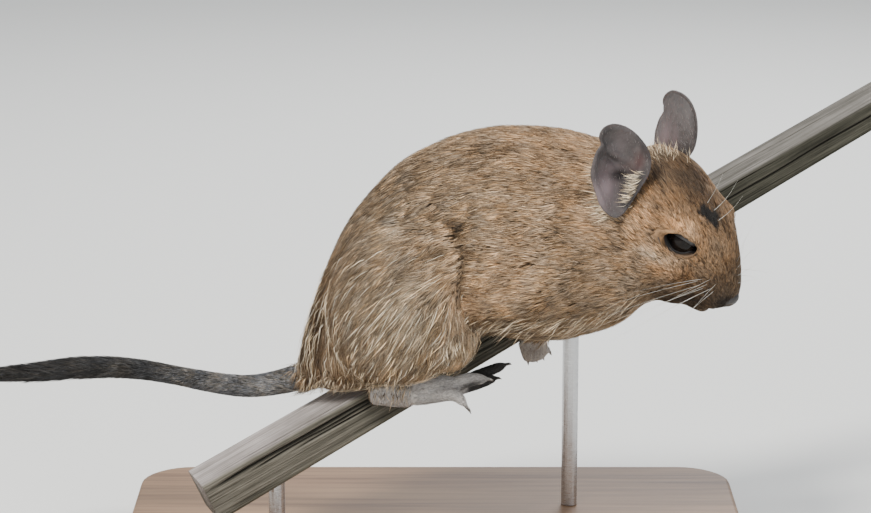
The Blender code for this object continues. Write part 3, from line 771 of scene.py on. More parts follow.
def closedCurve(points, count):
    # a smooth closed line through points, evenly stepped
    points = np.array(points, float)
    dense = []
    for index in range(len(points)):
        a, b, c, d = (points[(index + step) % len(points)] for step in (-1, 0, 1, 2))
        for share in np.linspace(0, 1, 12, endpoint=False):
            t2, t3 = share ** 2, share ** 3
            squared = (2 * a - 5 * b + 4 * c - d) * t2
            dense.append(0.5 * (2 * b + (c - a) * share + squared + (3 * b - a - 3 * c + d) * t3))
    dense = np.array(dense + dense[:1])
    run = np.concatenate([[0], np.cumsum(np.linalg.norm(np.diff(dense, axis=0), axis=1))])
    steps = np.linspace(0, run[-1], count, endpoint=False)
    return np.column_stack([np.interp(steps, run, dense[:, axis]) for axis in range(dense.shape[1])])


def flatPlaces(pixels, middle, normal, acrossWay, overWay):
    # where the lines of sight cross a plane, as millimetres along its two ways
    places = []
    for pixel in pixels:
        start, way = pixelRay(pixel)
        start, way = np.array(start), np.array(way)
        reach = np.dot(middle - start, normal) / np.dot(way, normal)
        away = (start + way * reach - middle) / mm
        places.append((away @ acrossWay, away @ overWay))
    return np.array(places)


def lidLines():
    # the near eye's opening and rim in the eye's own ways
    gaze, longWay, shortWay = eyeAxes(-1)
    lines = []
    for name, lift in (("opening", 4.4), ("rim", 4.7)):
        middle = eyeMiddle(-1) + gaze * lift * mm
        places = flatPlaces(eyeLook[name], middle, gaze, longWay, shortWay)
        lines.append(closedCurve(places, eyeLook["ringPoints"]))
    return lines


def makeLids(tree):
    inner, outer = lidLines()
    # share from the opening to the rim's outer edge, and lift over the surface
    rows = ((-0.35, -0.9), (-0.12, -0.10), (0.0, 0.14), (0.14, 0.40), (0.38, 0.52), (0.66, 0.46), (0.95, 0.26),
            (1.25, 0.0), (1.7, -0.7))
    lids = []
    for side, word in ((-1, "right"), (1, "left")):
        middle = eyeMiddle(side)
        gaze, longWay, shortWay = eyeAxes(side)
        turn = 1 if side == -1 else -1
        rings = []
        for share, lift in rows:
            ring = []
            for a, b in zip(inner, outer):
                flat = a + (b - a) * share
                size = np.linalg.norm(flat)
                ball = math.sqrt(max(eyeLook["radius"] ** 2 - size ** 2, 0.0))
                offset = longWay * flat[0] + shortWay * flat[1] * turn
                hit = tree.ray_cast(Vector(middle + (offset + gaze * 12) * mm), Vector(-gaze), 10 * mm)[0]
                skinDepth = ball if hit is None else (np.array(hit) - middle) @ gaze / mm
                mixShare = softStep(0.0, 1.0, share)
                depth = max(ball, (1 - mixShare) * min(ball, skinDepth) + mixShare * skinDepth)
                if share < 0:
                    depth = min(max(ball, 1.0), depth)
                ring.append(middle + (offset + gaze * (depth + lift)) * mm)
            rings.append(ring)
        rings = np.array(rings)
        for row in range(2, len(rings)):
            for _ in range(5):
                rings[row] = 0.5 * rings[row] + 0.25 * (np.roll(rings[row], 1, 0) + np.roll(rings[row], -1, 0))
        lid = ringMesh("lids_" + word, rings)
        ramp = np.repeat(np.linspace(0, 1, len(rows)), eyeLook["ringPoints"])
        paintPoints(lid, "rim", np.column_stack([ramp, ramp, ramp]), "FLOAT_VECTOR")
        fixNormals(lid)
        useModifier(lid, "SUBSURF", levels=1, render_levels=1)
        lid.data.shade_smooth()
        lids.append(lid)
    return lids


def makeLidMaterial():
    material, tree, shader = newMaterial("lidSkin")
    colour = rampNode(tree, splitVector(tree, "rim")["X"], (
        (0.2, (0.008, 0.007, 0.007)), (0.40, (0.022, 0.021, 0.021)), (0.56, (0.040, 0.037, 0.036)),
        (0.74, (0.030, 0.024, 0.020)), (0.92, (0.20, 0.13, 0.08)),
    ))
    addBump(tree, shader, objectNoise(tree, 2200.0, 3.0), 0.4, 0.0001)
    tree.links.new(colour, shader.inputs["Base Color"])
    shader.inputs["Roughness"].default_value = 0.42
    return material


# Markings and painted shade: soft patches over the skin, read by skin and coat alike

patches = (
    # kind, place (x, out, z), reach along x, y, z, strength, both sides
    ("rufous", (55, 20, 118), (22, 22, 16), 0.30, True),
    ("rufous", (30, 10, 133), (22, 20, 10), 0.15, True),
    ("rufous", (0, 27, 108), (9, 8, 8), 0.25, True),
    ("rufous", (8, 26, 88), (8, 8, 12), 0.35, True),
    ("rufous", (20, 24, 100), (7, 8, 12), 0.22, True),
    ("umber", (35, 20, 95), (22, 16, 20), 0.22, True),
    ("umber", (20, 10, 76), (30, 20, 8), 0.40, True),
    ("umber", (-38, 10, 85), (8, 22, 24), 0.80, True),
    ("dark", (-41, 6, 78), (7, 18, 18), 0.35, True),
    ("cream", (8, 24, 74), (12, 10, 11), 0.35, True),
    ("cream", (-8, 24, 82), (18, 14, 18), 0.50, True),
    ("cream", (-12, 22, 64), (18, 10, 7), 0.45, True),
    ("cream", (40, 6, 78), (20, 16, 5), 0.25, True),
    ("cream", (-20, 20, 114), (10, 9, 7), 0.32, True),
    ("cream", (0, 26, 106), (8, 9, 7), 0.28, True),
    ("dark", (-3, 26, 122), (3.0, 8, 2.4), 0.30, False),
)

headPatches = (
    # kind, behind the nose, out, up, reach, strength; both sides
    ("umber", (16, 0, 4), (16, 12, 14), 0.75),
    ("dark", (20, 8, 0), (26, 16, 18), 0.15),
    ("umber", (38, 4, 10), (14, 12, 9), 0.70),
    ("umber", (32, 14, -6), (16, 9, 11), 0.50),
    ("dark", (34, 15, -8), (14, 9, 9), 0.22),
    ("dark", (8, 5, 2), (9, 9, 9), 0.20),
    ("umber", (20, 10, -8), (14, 8, 7), 0.60),
    ("rufous", (30, 12, 5), (9, 8, 6), 0.42),
    ("rufous", (18, 11, -3), (9, 7, 5), 0.30),
    ("dark", (42, 2, 11), (13, 11, 9), 0.46),
    ("dark", (31, 2, 12), (8, 4, 6), 0.26),
    ("dark", (5, 3, -5), (6, 7, 5), 0.40),
    ("dark", (13, 5, -13), (14, 9, 4), 0.62),
)

pixelPatches = (
    # kind, pixel, half length, half width, tilt of the long way in degrees, strength
    ("dark", (709, 214), 4.5, 2.3, -41.5, 1.0),
    # painted shade in the creases between thigh and flank
    ("dark", (454, 231), 2.2, 2.7, -60, 0.92),
    ("dark", (437, 257), 4.5, 1.3, 22, 0.55),
    ("cream", (677, 220), 4.8, 3.2, -48, 0.95),
    ("rufous", (677, 220), 6.0, 4.2, -48, 0.62),
    ("cream", (655, 256), 5.6, 2.0, -24, 0.55),
    ("rufous", (672, 268), 8.0, 2.6, -8, 0.35),
    ("cream", (608, 212), 3.6, 2.6, 20, 0.90),
    ("cream", (600, 190), 3.2, 7.0, 10, 0.45),
    ("dark", (656, 168), 1.8, 6.0, 12, 0.60),
    ("dark", (655, 203), 1.2, 4.0, 0, 0.35),
    # painted shadow under the cheek
    ("dark", (680, 299), 9.0, 2.4, -8, 0.75),
    ("umber", (712, 290), 7.0, 5.0, 0, 0.70),
    ("dark", (708, 292), 6.0, 4.0, 0, 0.30),
    # painted shade in the mouth's opening
    ("dark", (724, 302), 4.6, 2.4, 20, 0.90),
    # painted shadow under the near hind foot, over its dark soles
    ("dark", (445, 401), 8.0, 1.5, 18, 0.97),
    # the near foot's inner toes: their dark soles, with painted shade over them
    ("dark", (500, 380), 4.6, 1.7, 8, 1.0),
    ("dark", (507, 366), 6.6, 2.0, 20, 1.0),
    # painted shade in the gap between the toes
    ("dark", (472, 385), 4.5, 1.1, 18, 0.92),
    ("umber", (386, 392), 4.6, 3.6, 0, 0.55),
    ("dark", (534, 352), 5.0, 4.0, 0, 0.35),
)


pixelDepth = 9.0  # how deep a picture patch reaches, in millimetres


def patchPlace(kindPlace, side):
    return np.array((kindPlace[0], -3.5 + side * kindPlace[1], kindPlace[2]))


def marksAt(points, hits):
    # cream, rufous and dark (dark fur and painted shade), and umber apart, for points in metres
    weights = {kind: np.zeros(len(points)) for kind in ("cream", "rufous", "dark", "umber")}

    def add(kind, amount):
        weights[kind] = 1 - (1 - weights[kind]) * (1 - np.clip(amount, 0, 1))

    # painted shade along the creases
    for line, _, width, strength in creaseSet:
        add("dark", strength * np.exp(-(creaseReach(points, line) / (width * 0.62)) ** 2))
    points = points / mm
    for kind, place, reach, strength, both in patches:
        for side in ((-1, 1) if both else (-1,)):
            away = (points - patchPlace(place, side)) / np.array(reach)
            add(kind, strength * np.exp(-(away ** 2).sum(1)))
    forward, left, up = headAxes()
    for kind, place, reach, strength in headPatches:
        for side in (-1, 1):
            away = points - headPoint(place[0], side * place[1], place[2]) / mm
            away = np.column_stack([away @ forward / reach[0], away @ left / reach[1], away @ up / reach[2]])
            add(kind, strength * np.exp(-(away ** 2).sum(1)))
    right, over, towards = viewAxes()
    for (kind, _, length, width, tilt, strength), hit in zip(pixelPatches, hits):
        turn = math.radians(tilt)
        longWay = right * math.cos(turn) + over * math.sin(turn)
        shortWay = over * math.cos(turn) - right * math.sin(turn)
        away = points - hit / mm
        rough = ripple(points * mm, 2.6 * mm, 5) * 0.16
        flat = (away @ longWay / length) ** 2 + (away @ shortWay / width) ** 2
        near = np.sqrt(flat + (away @ towards / pixelDepth) ** 2)
        add(kind, 1 - softStep(0.72, 1.12, near + rough) if strength == 1.0 else strength * np.exp(-near ** 2))
    marks = np.column_stack([weights["cream"], weights["rufous"], weights["dark"], np.ones(len(points))])
    return marks, weights["umber"]


def pixelHits(tree):
    hits = []
    for patch in pixelPatches:
        start, way = pixelRay(patch[1])
        hit = tree.ray_cast(start, way)[0]
        hits.append(np.array(hit if hit is not None else start + way * 0.85))
    return hits


greyParts = {"forepaw_right": 0.75, "forepaw_left": 0.75, "hind_foot_right": 0.9, "hind_foot_left": 0.9}


def extraAt(partNames, umber):
    # grey of the feet, the tail's own colour, and umber
    grey = np.array([greyParts.get(name, 0.0) for name in partNames])
    tail = np.array([1.0 if name == "tail" else 0.0 for name in partNames])
    return np.column_stack([grey, tail, umber * (1 - tail) * (1 - 0.6 * grey)])


def markSkin(points, partNames, hits):
    # marks and extra for places on the skin; the tail darkens to its brush
    marks, umber = marksAt(points, hits)
    extra = extraAt(partNames, umber)
    # the inner toes of the near foot show their dark soles, with painted shade from the body over them
    toe = softStep(8.5, 10.5, points[:, 0] / mm) * softStep(-15.0, -12.5, points[:, 1] / mm)
    toe = toe * (np.array(partNames) == "hind_foot_right")
    marks[:, 2] = np.maximum(marks[:, 2], 0.95 * toe)
    tail = extra[:, 1] > 0
    brush = softStep(58, 96, -points[:, 0] / mm)
    marks[tail, 0] = 0
    marks[tail, 1] = 0
    marks[tail, 2] = (0.10 + 0.66 * brush)[tail]
    return marks, extra


# The lie, length and rise of the coat

bodyGuides = (
    # x, out from the middle, z, lie (x, out, z), length, rise, width
    (58, 4, 130, (-1, 0, 0.12), 6.0, 1.6, 0.40),
    (40, 4, 138, (-1, 0, 0.04), 7.0, 1.9, 0.44),
    (20, 4, 139, (-1, 0, -0.04), 8.0, 2.0, 0.46),
    (0, 4, 134, (-1, 0, -0.22), 8.0, 2.0, 0.46),
    (-15, 4, 124, (-0.85, 0, -0.52), 8.5, 2.0, 0.46),
    (-28, 4, 109, (-0.60, 0, -0.80), 8.5, 2.0, 0.46),
    (-38, 3, 88, (-0.28, 0, -0.96), 8.5, 2.0, 0.46),
    (-42, 2, 70, (-0.15, 0, -0.99), 7.5, 1.9, 0.44),
    (45, 20, 115, (-1, 0.05, 0.0), 6.0, 1.6, 0.40),
    (25, 24, 118, (-1, 0, -0.03), 6.5, 1.7, 0.42),
    (5, 25, 118, (-1, 0, -0.18), 7.0, 1.8, 0.44),
    (-12, 24, 112, (-0.88, 0, -0.46), 8.0, 1.9, 0.46),
    (-25, 18, 100, (-0.66, 0, -0.75), 8.5, 2.0, 0.46),
    (30, 25, 98, (-1, 0, -0.06), 6.0, 1.6, 0.40),
    (14, 24, 95, (-1, 0, -0.12), 5.5, 1.4, 0.40),
    (45, 20, 95, (-1, 0, -0.10), 6.0, 1.6, 0.40),
    (35, 18, 82, (-0.95, 0, -0.32), 6.0, 1.6, 0.40),
    (20, 15, 77, (-0.95, 0, -0.28), 6.0, 1.7, 0.40),
    (30, 4, 75, (-0.95, 0, -0.22), 7.0, 2.0, 0.42),
    (52, 8, 84, (-0.92, 0, -0.38), 7.0, 2.0, 0.42),
    (-2, 28, 102, (-0.82, 0, -0.55), 7.5, 1.8, 0.44),
    (-10, 29, 90, (-0.62, 0, -0.80), 8.5, 2.0, 0.46),
    (5, 28, 90, (-0.50, 0, -0.86), 7.5, 1.8, 0.44),
    (-20, 24, 80, (-0.48, 0, -0.88), 9.0, 2.0, 0.46),
    (-32, 14, 72, (-0.34, 0, -0.94), 9.0, 2.0, 0.46),
    (0, 27, 76, (-0.34, 0, -0.94), 8.5, 2.0, 0.44),
    (11, 23, 78, (-0.05, 0, -1), 7.5, 1.8, 0.42),
    (11, 18, 66, (0.10, 0, -1), 7.0, 1.7, 0.38),
    (-12, 22, 65, (-0.25, 0, -0.97), 8.0, 1.9, 0.42),
    (0, 5, 66, (-1, 0, -0.10), 7.0, 1.9, 0.42),
    (35, 20, 90, (-0.86, 0, -0.50), 6.0, 1.5, 0.40),
)

headGuides = (
    # behind the nose, out, up, lie (forward, out, up), length, rise, width
    (1.5, 0, 3, (-0.6, 0, 0.8), 1.3, 0.25, 0.20),
    (6, 0, 9, (-1, 0, 0.2), 2.2, 0.5, 0.26),
    (14, 0, 11, (-1, 0, 0.1), 2.9, 0.7, 0.30),
    (24, 0, 12, (-1, 0, 0.0), 3.6, 0.85, 0.34),
    (34, 0, 11, (-1, 0, -0.1), 4.2, 1.0, 0.36),
    (44, 0, 8, (-1, 0, -0.25), 5.0, 1.3, 0.40),
    (6, 7, 2, (-0.95, 0.2, 0.25), 2.0, 0.4, 0.24),
    (6, 7, -4, (-0.85, 0.2, -0.4), 2.0, 0.4, 0.24),
    (14, 10, 2, (-1, 0.05, 0.05), 2.4, 0.5, 0.28),
    (14, 10, -5, (-0.88, 0.05, -0.45), 2.6, 0.6, 0.28),
    (22, 12, -6, (-0.78, 0, -0.62), 3.0, 0.7, 0.30),
    (30, 14, -8, (-0.62, 0, -0.80), 4.0, 0.9, 0.34),
    (30, 15, 2, (-0.80, 0, -0.50), 3.6, 0.8, 0.34),
    (38, 15, -4, (-0.60, 0, -0.80), 5.0, 1.2, 0.38),
    (28, 10, 9, (-1, -0.1, 0.1), 2.8, 0.6, 0.28),
    (19, 9, 8, (-1, 0, 0.15), 2.5, 0.55, 0.28),
    (10, 0, -9, (-0.95, 0, -0.2), 2.0, 0.5, 0.26),
    (24, 0, -14, (-0.8, 0, -0.6), 4.0, 1.0, 0.34),
)

footLie = {
    "hind_foot_right": (1, -0.2, 0.06), "hind_foot_left": (0.85, 0.31, 0.42),
    "forepaw_right": (-0.12, 0.1, -1), "forepaw_left": (0.85, 0.31, 0.42),
}

coatLookUp = {
    "waveAngle": 0.16,
    "waveLength": 11.0,
    "clumpAngle": 0.16,
    "tuftAngle": 0.10,
    "clumpPull": 0.30,
    "clumpShare": 0.09,
    "sink": 0.35,
    "thickness": 0.34,
    "seed": 7,
}


def guideTable():
    rows = []
    for x, out, z, lie, length, rise, width in bodyGuides:
        for side in (-1, 1):
            place = (x, -3.5 + side * out, z)
            rows.append((place, unit((lie[0], side * lie[1], lie[2])), length, rise, width))
    for back, out, up, lie, length, rise, width in headGuides:
        for side in (-1, 1):
            place = headPoint(back, side * out, up) / mm
            rows.append((place, headWay(lie[0], side * lie[1], lie[2]), length, rise, width))
    return rows


def coatAt(points, partNames):
    # lie, length, rise and width at points in metres
    rows = guideTable()
    places = np.array([row[0] for row in rows])
    values = np.array([[*row[1], row[2], row[3], row[4]] for row in rows])
    result = np.zeros((len(points), 6))
    for start in range(0, len(points), 20000):
        some = points[start:start + 20000] / mm
        away = ((some[:, None, :] - places[None]) ** 2).sum(2)
        weight = (away + 20.0) ** -3.0
        result[start:start + 20000] = (weight[:, :, None] * values[None]).sum(1) / weight.sum(1)[:, None]
    names = np.array(partNames)
    for name, lie in footLie.items():
        result[names == name, :3] = unit(lie)
        result[names == name, 3:] = (2.0, 0.30, 0.24)
    heel = np.isin(names, ("hind_foot_right", "hind_foot_left")) & (points[:, 0] / mm < -7)
    result[heel, :3] = unit((-0.25, -0.1, -1))
    result[heel, 3:] = (4.0, 0.7, 0.30)
    tail = names == "tail"
    line = np.array([row[:3] for row in tailLook["line"]])
    x = points[:, 0] / mm
    ahead = np.interp(-(x - 2), -line[:, 0], line[:, 2])
    behind = np.interp(-(x + 2), -line[:, 0], line[:, 2])
    away = softStep(-tailLook["brushFrom"] - 14, -tailLook["brushFrom"] + 16, -x)
    result[tail, 0] = -1
    result[tail, 1] = 0
    result[tail, 2] = ((behind - ahead) / -4.0)[tail] * -1
    result[tail, 3] = (2.6 + 6.0 * away)[tail]
    result[tail, 4] = (0.55 + 1.75 * away)[tail]
    result[tail, 5] = (0.26 + 0.08 * away)[tail]
    return result


def makeUnwrap(item, faces):
    # a light copy of the piece with its own unwrap, for the place of each tuft's patch
    deselectAll()
    light = item.copy()
    light.data = item.data.copy()
    light.parent = None
    bpy.context.scene.collection.objects.link(light)
    useModifier(light, "DECIMATE", ratio=min(1.0, faces / len(trianglesOf(light))))
    selectOnly(light)
    bpy.ops.object.mode_set(mode="EDIT")
    bpy.ops.mesh.select_all(action="SELECT")
    bpy.ops.mesh.quads_convert_to_tris()
    bpy.ops.uv.smart_project(angle_limit=1.15, island_margin=0.004)
    bpy.ops.object.mode_set(mode="OBJECT")
    points = pointsOf(light)
    faces = [tuple(polygon.vertices) for polygon in light.data.polygons]
    corners = np.zeros(len(light.data.loops) * 2, np.float32)
    light.data.uv_layers.active.data.foreach_get("uv", corners)
    corners = corners.reshape(-1, 3, 2).astype(float)
    tree = BVHTree.FromPolygons([tuple(p) for p in points], faces)
    places = points[np.array(faces)]
    bpy.data.objects.remove(light, do_unlink=True)
    return tree, places, corners


def unwrapAt(unwrap, points):
    tree, places, corners = unwrap
    index = np.array([tree.find_nearest(Vector(p))[2] for p in points])
    a, b, c = places[index, 0], places[index, 1], places[index, 2]
    edgeOne, edgeTwo, away = b - a, c - a, points - a
    d00, d01, d11 = (edgeOne ** 2).sum(1), (edgeOne * edgeTwo).sum(1), (edgeTwo ** 2).sum(1)
    d20, d21 = (away * edgeOne).sum(1), (away * edgeTwo).sum(1)
    scale = np.maximum(d00 * d11 - d01 * d01, 1e-20)
    v = np.clip((d11 * d20 - d01 * d21) / scale, 0, 1)
    w = np.clip((d00 * d21 - d01 * d20) / scale, 0, 1)
    w = np.minimum(w, 1 - v)
    u = 1 - v - w
    uv = corners[index]
    return uv[:, 0] * u[:, None] + uv[:, 1] * v[:, None] + uv[:, 2] * w[:, None]


def scatter(item, density, count, draw):
    # random places on an item: position, normal, nearest vertex
    points, normals, tris = pointsOf(item), normalsOf(item), trianglesOf(item)
    a, b, c = points[tris[:, 0]], points[tris[:, 1]], points[tris[:, 2]]
    area = np.linalg.norm(np.cross(b - a, c - a), axis=1) / 2
    weight = area * density[tris].mean(1)
    pick = draw.choice(len(tris), size=count, p=weight / weight.sum())
    r1, r2 = np.sqrt(draw.random(count)), draw.random(count)
    share = np.column_stack([1 - r1, r1 * (1 - r2), r1 * r2])
    place = (points[tris[pick]] * share[:, :, None]).sum(1)
    normal = unit((normals[tris[pick]] * share[:, :, None]).sum(1))
    return place, normal, tris[pick, 0]


def tuftPath(place, normal, lie, length, rise, skinTree, bend, stops=((0.42, 0.62), (1.0, 1.0))):
    # root, middle and tip: each rides at its height over the skin
    root = place - normal * coatLookUp["sink"] * mm
    found = []
    face = None
    for share, height in stops:
        target = place + lie * (length * share)[:, None] + bend * (share * share)
        spots = np.zeros_like(target)
        face = np.zeros(len(target), int)
        for index in range(len(target)):
            near, out, where, _ = skinTree.find_nearest(Vector(target[index]))
            spots[index] = near + out * (rise[index] * height)
            face[index] = where
        found.append(spots)
    return root, found[0], found[1], face


def trimmedPath(place, normal, lie, length, rise, skinTree, bend, footFace, stops=((0.42, 0.62), (1.0, 1.0))):
    # hair of the body is cut back where its tip would lie over a foot
    root, middle, tip, face = tuftPath(place, normal, lie, length, rise, skinTree, bend, stops)
    length = length.copy()
    for _ in range(3):
        over = np.nonzero(footFace[face])[0]
        if len(over) == 0:
            break
        length[over] *= 0.78
        shorter = tuftPath(
            place[over], normal[over], lie[over], length[over], rise[over], skinTree, bend[over] * 0.5, stops)
        middle[over], tip[over], face[over] = shorter[1:]
    return root, middle, tip


def makeTufts(name, root, middle, tip, normal, width, hair, marks, extra, patch, flat=None):
    # thin three-sided tufts, each a closed spindle of six triangles
    count = len(root)
    along = unit(tip - root)
    across = unit(np.cross(along, normal))
    over = np.cross(across, along)
    thick = (width * (flat if flat is not None else coatLookUp["thickness"]))[:, None]
    wide = width[:, None] / 2
    verts = np.zeros((count, 5, 3))
    verts[:, 0] = root
    verts[:, 1] = middle - across * wide
    verts[:, 2] = middle + across * wide
    verts[:, 3] = middle + over * thick
    verts[:, 4] = tip
    pattern = [(0, 2, 1), (0, 3, 2), (0, 1, 3), (4, 1, 2), (4, 2, 3), (4, 3, 1)]
    turned = np.cross(verts[:, 1] - root, verts[:, 2] - root)
    if np.median((turned * (verts[:, 3] - root)).sum(1)) < 0:
        pattern = [tuple(reversed(face)) for face in pattern]
    loops = np.concatenate([np.array(face) for face in pattern])
    sizes = np.array([len(face) for face in pattern])
    mesh = bpy.data.meshes.new(name)
    mesh.vertices.add(count * 5)
    mesh.vertices.foreach_set("co", verts.astype(np.float32).ravel())
    index = (np.arange(count)[:, None] * 5 + loops[None]).ravel()
    mesh.loops.add(len(index))
    mesh.loops.foreach_set("vertex_index", index.astype(np.int32))
    starts = np.concatenate([[0], np.cumsum(sizes)[:-1]])
    mesh.polygons.add(count * len(pattern))
    allStarts = (np.arange(count)[:, None] * len(loops) + starts[None]).ravel()
    mesh.polygons.foreach_set("loop_start", allStarts.astype(np.int32))
    mesh.update(calc_edges=True)
    item = bpy.data.objects.new(name, mesh)
    bpy.context.scene.collection.objects.link(item)
    share = np.array((0.0, 0.5, 0.5, 0.5, 1.0))
    side = np.array((0.0, -0.5, 0.5, 0.0, 0.0))
    values = np.zeros((count, 5, 3))
    values[:, :, 0] = share[None]
    values[:, :, 1] = hair[:, 0][:, None]
    values[:, :, 2] = hair[:, 1][:, None]
    paintPoints(item, "hair", values.reshape(-1, 3), "FLOAT_VECTOR")
    paintPoints(item, "marks", np.repeat(marks, 5, axis=0))
    paintPoints(item, "extra", np.repeat(extra, 5, axis=0), "FLOAT_VECTOR")
    layer = mesh.uv_layers.new(name="OFBake")
    local = np.column_stack([side, share - 0.5]) * 0.003
    uv = np.clip(patch[:, None, :] + local[None], 0.0005, 0.9995)
    layer.data.foreach_set("uv", uv[:, loops].astype(np.float32).ravel())
    mesh.shade_smooth()
    return item


coatPieces = {
    # piece: part, side of the middle (0 for both), tufts
    "coatHeadRight": (("head",), -1, 31000),
    "coatHeadLeft": (("head",), 1, 16000),
    "coatNeckRight": (("neck",), -1, 17500),
    "coatNeckLeft": (("neck",), 1, 10000),
    "coatTorsoRight": (("torso",), -1, 32500),
    "coatTorsoLeft": (("torso",), 1, 22000),
    "coatThighRight": (("thigh_right",), 0, 31000),
    "coatThighLeft": (("thigh_left",), 0, 13500),
    "coatArms": (("upper_arm_right", "upper_arm_left"), 0, 10000),
    "coatFeet": (("hind_foot_right", "hind_foot_left", "forepaw_right", "forepaw_left"), 0, 17000),
    "coatTail": (("tail",), 0, 24000),
}


def makeCoat(skin, names, nearest, skinTree, hits, unwrap):
    points = pointsOf(skin)
    made = []
    for index, (pieceName, (parts, wantedSide, count)) in enumerate(coatPieces.items()):
        draw = np.random.default_rng(coatLookUp["seed"] + index)
        density = np.isin(nearest, [names.index(part) for part in parts]).astype(float)
        if wantedSide:
            if parts[0] == "head":
                sideways = (points - headPoint(20, 0, 0)) @ headAxes()[1]
            else:
                sideways = points[:, 1] + 3.5 * mm
            density *= (sideways * wantedSide > -0.0002)
        density *= coatThinning(points)
        place, normal, vertex = scatter(skin, density, count, draw)
        partNames = [names[nearest[v]] for v in vertex]
        comb = coatAt(place, partNames)
        lie, length, rise, width = comb[:, :3], comb[:, 3] * mm, comb[:, 4] * mm, comb[:, 5] * mm
        lie = unit(lie - normal * (lie * normal).sum(1)[:, None])

        # neighbours share a clump, whose leader sets a common turn and tint
        leaders = draw.choice(count, max(int(count * coatLookUp["clumpShare"]), 1), replace=False)
        tree = KDTree(len(leaders))
        for number, leader in enumerate(leaders):
            tree.insert(Vector(place[leader]), number)
        tree.balance()
        mine = np.array([tree.find(Vector(p))[1] for p in place])
        clumpTurn = draw.normal(size=len(leaders)) * coatLookUp["clumpAngle"]
        clumpTint = draw.random(len(leaders))
        wave = ripple(place, coatLookUp["waveLength"] * mm, 21) * coatLookUp["waveAngle"]
        turn = wave + clumpTurn[mine] + draw.normal(size=count) * coatLookUp["tuftAngle"]
        sideWay = np.cross(normal, lie)
        lie = unit(lie * np.cos(turn)[:, None] + sideWay * np.sin(turn)[:, None])
        length = length * draw.uniform(0.72, 1.15, count)
        rise = rise * draw.uniform(0.55, 1.05, count)
        width = width * draw.uniform(0.50, 0.85, count) * (0.82 if "Thigh" in pieceName else 1.0)
        bend = np.cross(normal, lie) * (draw.normal(size=count) * 0.05 * length)[:, None]
        if parts[0] in footLie or parts[0] == "tail":
            root, middle, tip, _ = tuftPath(place, normal, lie, length, rise, skinTree, bend)
        else:
            length = length * (1 - 0.45 * np.exp(-(creaseReach(place, creaseSet[0][0]) / 2.2) ** 2))
            root, middle, tip = trimmedPath(place, normal, lie, length, rise, skinTree, bend, footFace)
        leadTip = tip[leaders][mine]
        leadPlace = place[leaders][mine]
        pull = (leadTip - leadPlace) - (tip - place) + (leadPlace - place)
        tip = tip + pull * coatLookUp["clumpPull"] * 0.6
        middle = middle + pull * coatLookUp["clumpPull"] * 0.15
        tint = 0.68 * draw.random(count) + 0.32 * clumpTint[mine] + 0.10 * ripple(place, 9 * mm, 3)
        hue = np.clip(0.5 + 0.22 * ripple(place, 6 * mm, 13) + 0.25 * draw.normal(size=count), 0, 1)
        hair = np.column_stack([np.clip(tint, 0, 1), hue])
        if parts[0] in footLie:
            hair = np.column_stack([0.42 + 0.30 * draw.random(count), np.full(count, 0.4)])
        marks, extra = markSkin(0.35 * middle + 0.65 * tip, partNames, hits)
        patch = unwrapAt(unwrap, place)
        item = makeTufts(pieceName, root, middle, tip, normal, width, hair, marks, extra, patch)
        made.append(item)
        print("degu:", pieceName, count * 6, "triangles")
    return made


def coatThinning(points):
    # no tufts inside the dark rims of the eyes, nor on the nose pad
    keep = np.ones(len(points))
    for side in (-1, 1):
        keep[lidReach(points, side) < 1.02] = 0.0
    nose = (points - headPoint(1.0, 0, 1.0)) / mm
    keep[np.linalg.norm(nose, axis=1) < 2.6] = 0.0
    return keep


# Materials for the stand and the perch

def makeWoodGroup():
    # long grain along X of the given place
    tree, source, result = groupTree(
        "woodGrain",
        (("Vector", "NodeSocketVector"), ("Light", "NodeSocketColor"), ("Deep", "NodeSocketColor")),
        (("Color", "NodeSocketColor"), ("Height", "NodeSocketFloat")),
    )
    fine = stretchedNoise(tree, source.outputs["Vector"], (14.0, 420.0, 420.0), Detail=6.0, Roughness=0.62)
    figure = stretchedNoise(tree, source.outputs["Vector"], (6.0, 110.0, 110.0), Detail=3.0)
    total = weighNodes(tree, fine, 0.6, figure, 0.4)
    sharp = rampNode(tree, total, ((0.36, (0, 0, 0)), (0.62, (1, 1, 1))))
    colour = mixColours(tree, sharp, source.outputs["Deep"], source.outputs["Light"])
    tree.links.new(colour, result.inputs["Color"])
    tree.links.new(sharp, result.inputs["Height"])
    return tree


def makeBaseMaterial(group):
    material, tree, shader = newMaterial("baseWood")
    where = tree.nodes.new("ShaderNodeTexCoord")
    grain = tree.nodes.new("ShaderNodeGroup")
    grain.node_tree = group
    grain.inputs["Light"].default_value = (0.30, 0.185, 0.105, 1)
    grain.inputs["Deep"].default_value = (0.135, 0.075, 0.042, 1)
    tree.links.new(where.outputs["Object"], grain.inputs["Vector"])
    tree.links.new(grain.outputs["Color"], shader.inputs["Base Color"])
    addBump(tree, shader, grain.outputs["Height"], 0.25, 0.0002)
    shader.inputs["Roughness"].default_value = 0.42
    return material


def makeSteelMaterial():
    material, tree, shader = newMaterial("brushedSteel")
    where = tree.nodes.new("ShaderNodeTexCoord")
    scratches = stretchedNoise(tree, where.outputs["Object"], (300.0, 300.0, 9000.0), Detail=2.0)
    tree.links.new(rampNode(tree, scratches, ((0.3, (0.22, 0.22, 0.22)), (0.7, (0.42, 0.42, 0.42)))),
                   shader.inputs["Roughness"])
    shader.inputs["Base Color"].default_value = (0.52, 0.52, 0.53, 1)
    shader.inputs["Metallic"].default_value = 1.0
    return material


